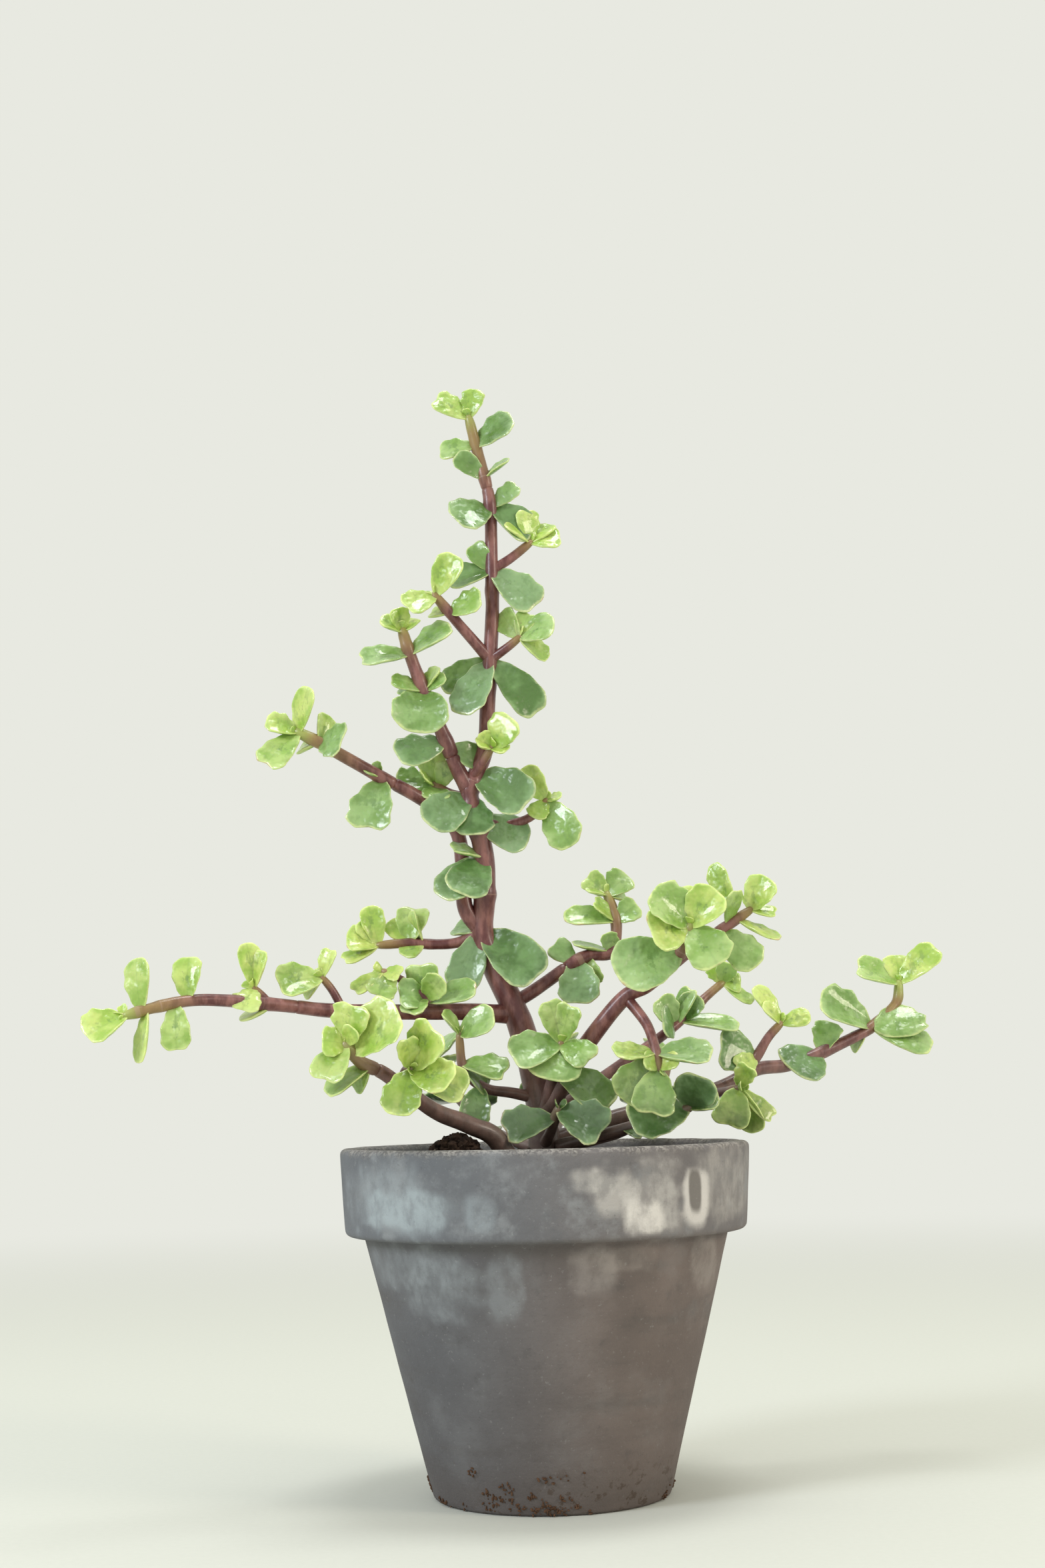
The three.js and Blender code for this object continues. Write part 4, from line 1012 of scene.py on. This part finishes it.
def old_grey_clay():
    made, tree = new_material("old grey clay")
    place = add_node(tree, "TexCoord").outputs["Object"]
    where = add_node(tree, "SeparateXYZ", Vector=place).outputs
    clouds = spots(tree, 30, detail=5, roughness=0.6)
    blotches = spots(tree, 7, detail=6, roughness=0.65)
    # painted light: the left side of the pot is painted cooler and the right side warmer, as the cool left
    # window and the warm right one would tint it; the mottling in both is the clay's own tone
    clay_mottle_in_painted_cool_light = mix(tree, ramp(tree, clouds, 0.25, 0.75), "#57575A", "#66676A")
    clay_mottle_in_painted_warm_light = mix(tree, ramp(tree, clouds, 0.25, 0.75), "#655B57", "#7A6E69")
    clay = mix(tree, ramp(tree, where["X"], -0.035, 0.03), clay_mottle_in_painted_cool_light, clay_mottle_in_painted_warm_light)
    smears = spots(tree, 12, detail=5, stretch=(0.35, 0.35, 1.3))
    clay = mix(tree, reckon(tree, "MULTIPLY", ramp(tree, smears, 0.52, 0.72), 0.45), clay, "#54504E")
    clay = mix(tree, reckon(tree, "MULTIPLY", ramp(tree, blotches, 0.56, 0.72), 0.35), clay, "#4D4B4B")

    # the rim dried more slowly, so it is cooler and paler, and noise spreads lime over it
    rim_band = ramp(tree, where["Z"], RIM_BOTTOM * MM - 0.001, RIM_BOTTOM * MM + 0.002)
    clay = mix(tree, reckon(tree, "MULTIPLY", rim_band, 0.35), clay, mix(tree, smears, "#5A6068", "#8A9096"))
    dusty = ramp(tree, spots(tree, 16, detail=6, roughness=0.65), 0.5, 0.68)
    bloom = reckon(tree, "MULTIPLY", dusty, reckon(tree, "MULTIPLY_ADD", rim_band, 0.3, 0.08))
    clay = mix(tree, bloom, clay, "#A2A6A8")
    streaky = spots(tree, 4.5, detail=6, roughness=0.6, stretch=(1, 1, 0.6))
    patchy = ramp(tree, reckon(tree, "ADD", streaky, reckon(tree, "MULTIPLY", blotches, 0.6)), 0.62, 0.95)
    thick_lime = blend_up(tree, patchy, 0.5, 1.25)
    for x, height, wide, tall, strength, tone in LIME_CLOUDS:
        cloud = lime_cloud(tree, where, x, height, wide, tall)
        cloud = reckon(tree, "MULTIPLY", cloud, thick_lime)
        clay = mix(tree, reckon(tree, "MULTIPLY", cloud, strength), clay, tone)
    drip = lime_cloud(tree, where, *DRIP, 2.1, 6.5, softness=0.7)
    halo = lime_cloud(tree, where, DRIP[0], DRIP[1] - 2, 4.4, 8.5, softness=0.65)
    clay = mix(tree, reckon(tree, "MULTIPLY", halo, 0.8), clay, "#D6D1CD")
    clay = mix(tree, reckon(tree, "MULTIPLY", drip, 0.9), clay, "#6A6561")

    # grit, the crust along the top edge, and soil that splashed on the foot
    grit = spots(tree, 1.1, detail=3, roughness=0.7)
    clay = mix(tree, reckon(tree, "MULTIPLY", ramp(tree, grit, 0.62, 0.74), 0.3), clay, "#38383A")
    clay = mix(tree, reckon(tree, "MULTIPLY", ramp(tree, grit, 0.38, 0.28), 0.2), clay, "#B0B0AF")
    top = reckon(tree, "ADD", where["Z"], reckon(tree, "MULTIPLY", blotches, 0.004))
    crust = ramp(tree, top, (POT_HEIGHT - 0.6) * MM, (POT_HEIGHT + 2.4) * MM)
    crust_tone = mix(tree, ramp(tree, grit, 0.42, 0.6), "#5F5A54", "#A39E96")
    clay = mix(tree, reckon(tree, "MULTIPLY", crust, 0.7), clay, crust_tone)
    low = reckon(tree, "SUBTRACT", 1.0, ramp(tree, where["Z"], 0.003, 0.017))
    clumps = ramp(tree, spots(tree, 3.2, detail=5, roughness=0.7), 0.54, 0.6)
    zones = ramp(tree, spots(tree, 22, detail=1), 0.4, 0.52)
    splash = reckon(tree, "MULTIPLY", clumps, reckon(tree, "MULTIPLY", low, zones))
    clay = mix(tree, reckon(tree, "MULTIPLY", splash, 0.85), clay, "#42301F")
    clay = mix(tree, reckon(tree, "MULTIPLY", low, 0.3), clay, "#5B5048")
    # the clay is made darker towards the bottom
    darker_towards_bottom = reckon(tree, "SUBTRACT", 1.0, ramp(tree, where["Z"], 0.0, 0.06))
    clay = mix(tree, reckon(tree, "MULTIPLY", darker_towards_bottom, 0.3), clay, "#4C4543")

    # turning lines about two millimetres apart, which a wheel leaves
    lines = spots(tree, 2, detail=2, stretch=(0.03, 0.03, 1))
    turned = relief(tree, lines, 0.25, 0.35)
    lumpy = relief(tree, blotches, 0.5, 0.5, under=turned)
    gritty = relief(tree, grit, 0.22, 0.8, under=lumpy)
    dry = blend_up(tree, clouds, 0.78, 0.94)
    show(tree, add_node(tree, "BsdfPrincipled", Base_Color=clay, Roughness=dry, IOR=1.5,
                        Specular_IOR_Level=0.35, Normal=gritty))
    return made


clay_skin = old_grey_clay()
print("made", clay_skin.name)

# %% [markdown]
# ## What the soil is made of
#
# Potting soil is composted bark and peat with bits of grit: dark brown, matt and crumbly. It needs
# a finish before the pot does, because some of it has splashed onto the foot and dried there.

# %% Crumbly soil
def crumbly_soil():
    made, tree = new_material("crumbly potting soil")
    crumbs = spots(tree, 3.5, detail=4, roughness=0.6)
    dust = spots(tree, 0.8, detail=5, roughness=0.7)
    soil = mix(tree, ramp(tree, crumbs, 0.4, 0.62), "#1D1511", "#3B2D25")
    soil = mix(tree, reckon(tree, "MULTIPLY", ramp(tree, dust, 0.56, 0.7), 0.6), soil, "#5F4E40")
    grit = ramp(tree, spots(tree, 5.5, detail=2), 0.66, 0.7)
    soil = mix(tree, reckon(tree, "MULTIPLY", grit, 0.5), soil, "#978A7A")
    place = add_node(tree, "TexCoord").outputs["Object"]
    height = add_node(tree, "SeparateXYZ", Vector=place).outputs["Z"]
    dried = reckon(tree, "SUBTRACT", 1.0, ramp(tree, height, 0.02, 0.04))
    soil = mix(tree, reckon(tree, "MULTIPLY", dried, 0.7), soil, mix(tree, crumbs, "#4A3326", "#80624C"))
    rough = relief(tree, dust, 0.5, 0.9)
    show(tree, add_node(tree, "BsdfPrincipled", Base_Color=soil, Roughness=0.96, IOR=1.4,
                        Specular_IOR_Level=0.2, Normal=rough))
    return made


soil_skin = crumbly_soil()
print("made", soil_skin.name)

# %% [markdown]
# ## The pot
#
# A potter makes this shape by turning it, and a spin does the same. The cross-section of the wall
# starts as one face with square corners. Bevelling its corners gives the rounded lip and foot, and
# its long sides are cut finer so that the turned wall can be a little uneven, as real clay is. The
# outline is then spun once about the pot's axis.

# %% Turn the pot
def inside_radius(height):
    """The pot's inside radius at a height, in millimetres."""
    slope = (WALL_TOP_RADIUS - FOOT_RADIUS) / RIM_BOTTOM
    return FOOT_RADIUS + slope * height - WALL


def turned_outline(corners, longest):
    """A bmesh that holds only a closed outline, rounded at its corners and cut into short edges."""
    mesh = bmesh.new()
    verts = [mesh.verts.new((radius * MM, 0, height * MM)) for radius, height, _ in corners]
    mesh.faces.new(verts)
    for vert, (_, _, rounding) in zip(verts, corners):
        bmesh.ops.bevel(mesh, geom=[vert], offset=rounding * MM, segments=4, profile=0.5,
                        affect="VERTICES", material=-1)
    bmesh.ops.delete(mesh, geom=mesh.faces[:], context="FACES_ONLY")
    for edge in mesh.edges[:]:
        cuts = int(edge.calc_length() / (longest * MM))
        if cuts:
            bmesh.ops.subdivide_edges(mesh, edges=[edge], cuts=cuts)
    return mesh


def spin_round(mesh, steps):
    """Spins everything in a bmesh once about the upright axis."""
    bmesh.ops.spin(mesh, geom=mesh.verts[:] + mesh.edges[:], cent=(0, 0, 0), axis=(0, 0, 1),
                   dvec=(0, 0, 0), angle=math.tau, steps=steps, use_merge=True, use_duplicate=False)
    bmesh.ops.remove_doubles(mesh, verts=mesh.verts[:], dist=0.01 * MM)
    for face in mesh.faces:
        face.smooth = True


outline = turned_outline([
    (DRAIN_RADIUS, 0, 0.8), (FOOT_RADIUS, 0, 1.2), (WALL_TOP_RADIUS - 0.8, RIM_BOTTOM, 0.5),
    (RIM_RADIUS - RIM_TAPER, RIM_BOTTOM, 1.6), (RIM_RADIUS, POT_HEIGHT, 1.8),
    (inside_radius(POT_HEIGHT), POT_HEIGHT, 1.8), (inside_radius(FLOOR), FLOOR, 2),
    (DRAIN_RADIUS, FLOOR, 0.8)], longest=4)
spin_round(outline, POT_STEPS)
for vert in outline.verts:
    out = Vector((vert.co.x, vert.co.y, 0)).normalized()
    uneven = 0.22 * noise.noise(vert.co * 28) + 0.1 * noise.noise(vert.co * 160)
    near_lip = soft_step(POT_HEIGHT - 3, POT_HEIGHT, vert.co.z / MM)
    vert.co += out * uneven * MM
    vert.co.z -= near_lip * abs(noise.noise(vert.co * 210)) * 0.45 * MM
print("the pot has", len(outline.faces), "faces before smoothing")

splashed = random.Random(8)
for _ in range(SPLASHES):
    gathered = splashed.random() < SPLASH_GATHERED
    turn = splashed.gauss(SPLASH_SIDE, SPLASH_SPREAD) if gathered else splashed.uniform(0, math.tau)
    height = splashed.uniform(0.8, 2.5) + 10 * splashed.random() ** 3
    for _ in range(splashed.choice((1, 3, 6, 9))):
        x = turn + splashed.gauss(0, 1.1) / FOOT_RADIUS
        z = max(0.5, height + splashed.gauss(0, 0.6))
        away = blend(FOOT_RADIUS, WALL_TOP_RADIUS, z / RIM_BOTTOM)
        place = Matrix.Translation(Vector((math.cos(x) * away, math.sin(x) * away, z)) * MM)
        tumbled = place @ Matrix.Rotation(splashed.uniform(0, math.tau), 4, Vector((
            splashed.uniform(-1, 1), splashed.uniform(-1, 1), splashed.uniform(-1, 1))))
        drawn_out = tumbled @ Matrix.Diagonal((0.7, splashed.uniform(0.7, 1.2), splashed.uniform(1, 1.9), 1))
        crumb = bmesh.ops.create_icosphere(outline, subdivisions=1, radius=splashed.uniform(0.2, 0.6) * MM,
                                           matrix=drawn_out)
        for face in {face for vert in crumb["verts"] for face in vert.link_faces}:
            face.material_index = 1
finish_piece(outline, "turned_clay_pot", "clay_pot", [clay_skin, soil_skin])

# %% [markdown]
# ## The soil
#
# The soil's body is a turned plug with a low mound, roughened by noise, and loose crumbs lie on
# it. Each crumb is a small icosphere that is stretched, turned and knocked out of round, which is
# far cheaper than scattering whole objects and keeps all of it one piece.

# %% Fill the pot
MOUND = 7
HEAP_PLACE, HEAP_RADIUS, HEAP_HEIGHT = (-25, -22), 9, 12
SOIL_EDGE = inside_radius(SOIL_LEVEL) - 0.3
CRUMBS = 2200
HEAP_SHARE = 0.16  # of the crumbs, those that lie on the heap
SURFACE_RINGS = 26
SOIL_STEPS = 90


def soil_height(x, y):
    """The height of the soil's surface, in millimetres, with its mound and its heap."""
    share = math.hypot(x, y) / SOIL_EDGE
    mound = MOUND * soft_step(1.0, 0.15, share)
    away = math.hypot(x - HEAP_PLACE[0], y - HEAP_PLACE[1]) / HEAP_RADIUS
    heap = HEAP_HEIGHT * math.sqrt(max(0, 1 - away * away))
    return SOIL_LEVEL + max(mound, heap)


soil = bmesh.new()
first_ring = [(0, FLOOR + 0.3), (inside_radius(FLOOR) - 2, FLOOR + 0.3),
              (inside_radius(FLOOR + 3) - 0.3, FLOOR + 3), (SOIL_EDGE, SOIL_LEVEL)]
radii = [SOIL_EDGE * (1 - ring / SURFACE_RINGS) for ring in range(1, SURFACE_RINGS)] + [0]
profile = [soil.verts.new((radius * MM, 0, height * MM)) for radius, height in
           first_ring + [(radius, SOIL_LEVEL) for radius in radii]]
for start, end in zip(profile, profile[1:]):
    soil.edges.new((start, end))
spin_round(soil, SOIL_STEPS)
for vert in soil.verts:
    x, y, z = vert.co / MM
    if z > SOIL_LEVEL - 0.01 and math.hypot(x, y) < SOIL_EDGE - 0.1:
        vert.co.z = (soil_height(x, y) + 1.1 * noise.noise(vert.co * 260)) * MM
bmesh.ops.recalc_face_normals(soil, faces=soil.faces)

for _ in range(CRUMBS):
    turn, out = dice.uniform(0, math.tau), math.sqrt(dice.random()) * (SOIL_EDGE - 1.6)
    if dice.random() < HEAP_SHARE:
        spread = dice.gauss(0, 0.45) * HEAP_RADIUS
        x, y = HEAP_PLACE[0] + spread * math.cos(turn), HEAP_PLACE[1] + spread * math.sin(turn)
    else:
        x, y = out * math.cos(turn), out * math.sin(turn)
    size = blend(0.5, 1.9, dice.random() ** 2.2)
    lying = Matrix.Translation(Vector((x, y, soil_height(x, y) + 0.25 * size)) * MM)
    tumbled = lying @ Matrix.Rotation(dice.uniform(0, math.tau), 4, Vector((
        dice.uniform(-1, 1), dice.uniform(-1, 1), dice.uniform(0.2, 1))))
    shaped = tumbled @ Matrix.Diagonal((dice.uniform(0.7, 1.5), dice.uniform(0.6, 1.1),
                                        dice.uniform(0.5, 0.9), 1))
    crumb = bmesh.ops.create_icosphere(soil, subdivisions=1, radius=size * MM, matrix=shaped)
    for vert in crumb["verts"]:
        vert.co += Vector([dice.uniform(-0.22, 0.22) * size * MM for _ in range(3)])
print("the soil has", len(soil.faces), "faces")
finish_piece(soil, "loose_potting_soil", "potting_soil", [soil_skin], smoothing=0)

# %% [markdown]
# ## The studio
#
# The plant stands on a plain pale surface in soft daylight. The floor is a wide disc that fades
# into the colour of the air around it, so that no horizon shows. The fade follows the distance
# from the pot, so it stays put from every side.

# %% Floor and air
AIR = "#E8E9E1"
AIR_STRENGTH = 1.0
FLOOR_RADIUS = 4


def pale_floor():
    made, tree = new_material("pale paper floor")
    place = add_node(tree, "TexCoord").outputs["Object"]
    away = add_node(tree, "VectorMath", {"operation": "LENGTH"}, in0=place).outputs["Value"]
    fade = ramp(tree, away, 0.35, 1.4)
    tooth = spots(tree, 2, detail=4)
    paper = mix(tree, tooth, "#C7C9C0", "#CDCFC6")
    board = add_node(tree, "BsdfPrincipled", Base_Color=paper, Roughness=0.9)
    glow = add_node(tree, "Emission", Color=colour(AIR), Strength=AIR_STRENGTH)
    both = add_node(tree, "MixShader", in0=fade, in1=board.outputs[0], in2=glow.outputs[0])
    show(tree, both)
    return made


ground = bmesh.new()
bmesh.ops.create_circle(ground, cap_ends=True, segments=96, radius=FLOOR_RADIUS)
floor_data = bpy.data.meshes.new("floor")
ground.to_mesh(floor_data)
ground.free()
floor_data.materials.append(pale_floor())
floor = bpy.data.objects.new("floor", floor_data)
bpy.context.scene.collection.objects.link(floor)

world = bpy.data.worlds.new("soft air")
bpy.context.scene.world = world
world.use_nodes = True
world.node_tree.nodes["Background"].inputs["Color"].default_value = colour(AIR)
world.node_tree.nodes["Background"].inputs["Strength"].default_value = AIR_STRENGTH
print("the air is", AIR)

# %% [markdown]
# ## Light
#
# A window to the left gives the main light, cool and soft. A smaller warm one on the right
# lifts the shadows, and one above puts the glints on the leaves' wet-looking margins.

# %% Windows
PLANT_MIDDLE = Vector((0, 0, 0.16))


def window(name, place, size, power, tone):
    """A square area light that looks at the middle of the plant."""
    data = bpy.data.lights.new(name, "AREA")
    data.size, data.energy, data.color = size, power, colour(tone)[:3]
    made = bpy.data.objects.new(name, data)
    made.location = place
    aim = PLANT_MIDDLE - Vector(place)
    made.rotation_euler = aim.to_track_quat("-Z", "Y").to_euler()
    bpy.context.scene.collection.objects.link(made)


window("left window", (-1.2, -0.9, 0.9), 0.45, 14, "#EEF4FF")
window("right window", (1.3, -0.7, 0.7), 0.4, 7, "#FFF1DF")
window("skylight", (0.1, 0.0, 1.6), 0.4, 8, "#FFFFFF")
bpy.context.scene.view_settings.view_transform = "Standard"

# %% [markdown]
# ## Camera
#
# The viewer stands close, a little above the rim, and looks slightly up, so that the pot's mouth
# is seen almost edge on and the plant towers over it. The head is tilted by about a degree.

# %% Place the camera
CAMERA_PLACE = (-0.004, -0.629, 0.113)
LOOK_UP = math.radians(8.4)
TILT = math.radians(1.3)
LENS = 48.5

camera_data = bpy.data.cameras.new("camera")
camera_data.lens = LENS
camera_data.sensor_width = 36
camera = bpy.data.objects.new("camera", camera_data)
bpy.context.scene.collection.objects.link(camera)
upright = Matrix.Rotation(math.pi / 2 + LOOK_UP, 4, "X")
camera.matrix_world = Matrix.Translation(CAMERA_PLACE) @ upright @ Matrix.Rotation(-TILT, 4, "Z")
bpy.context.scene.camera = camera
print("the camera looks up by", round(math.degrees(LOOK_UP), 1), "degrees")
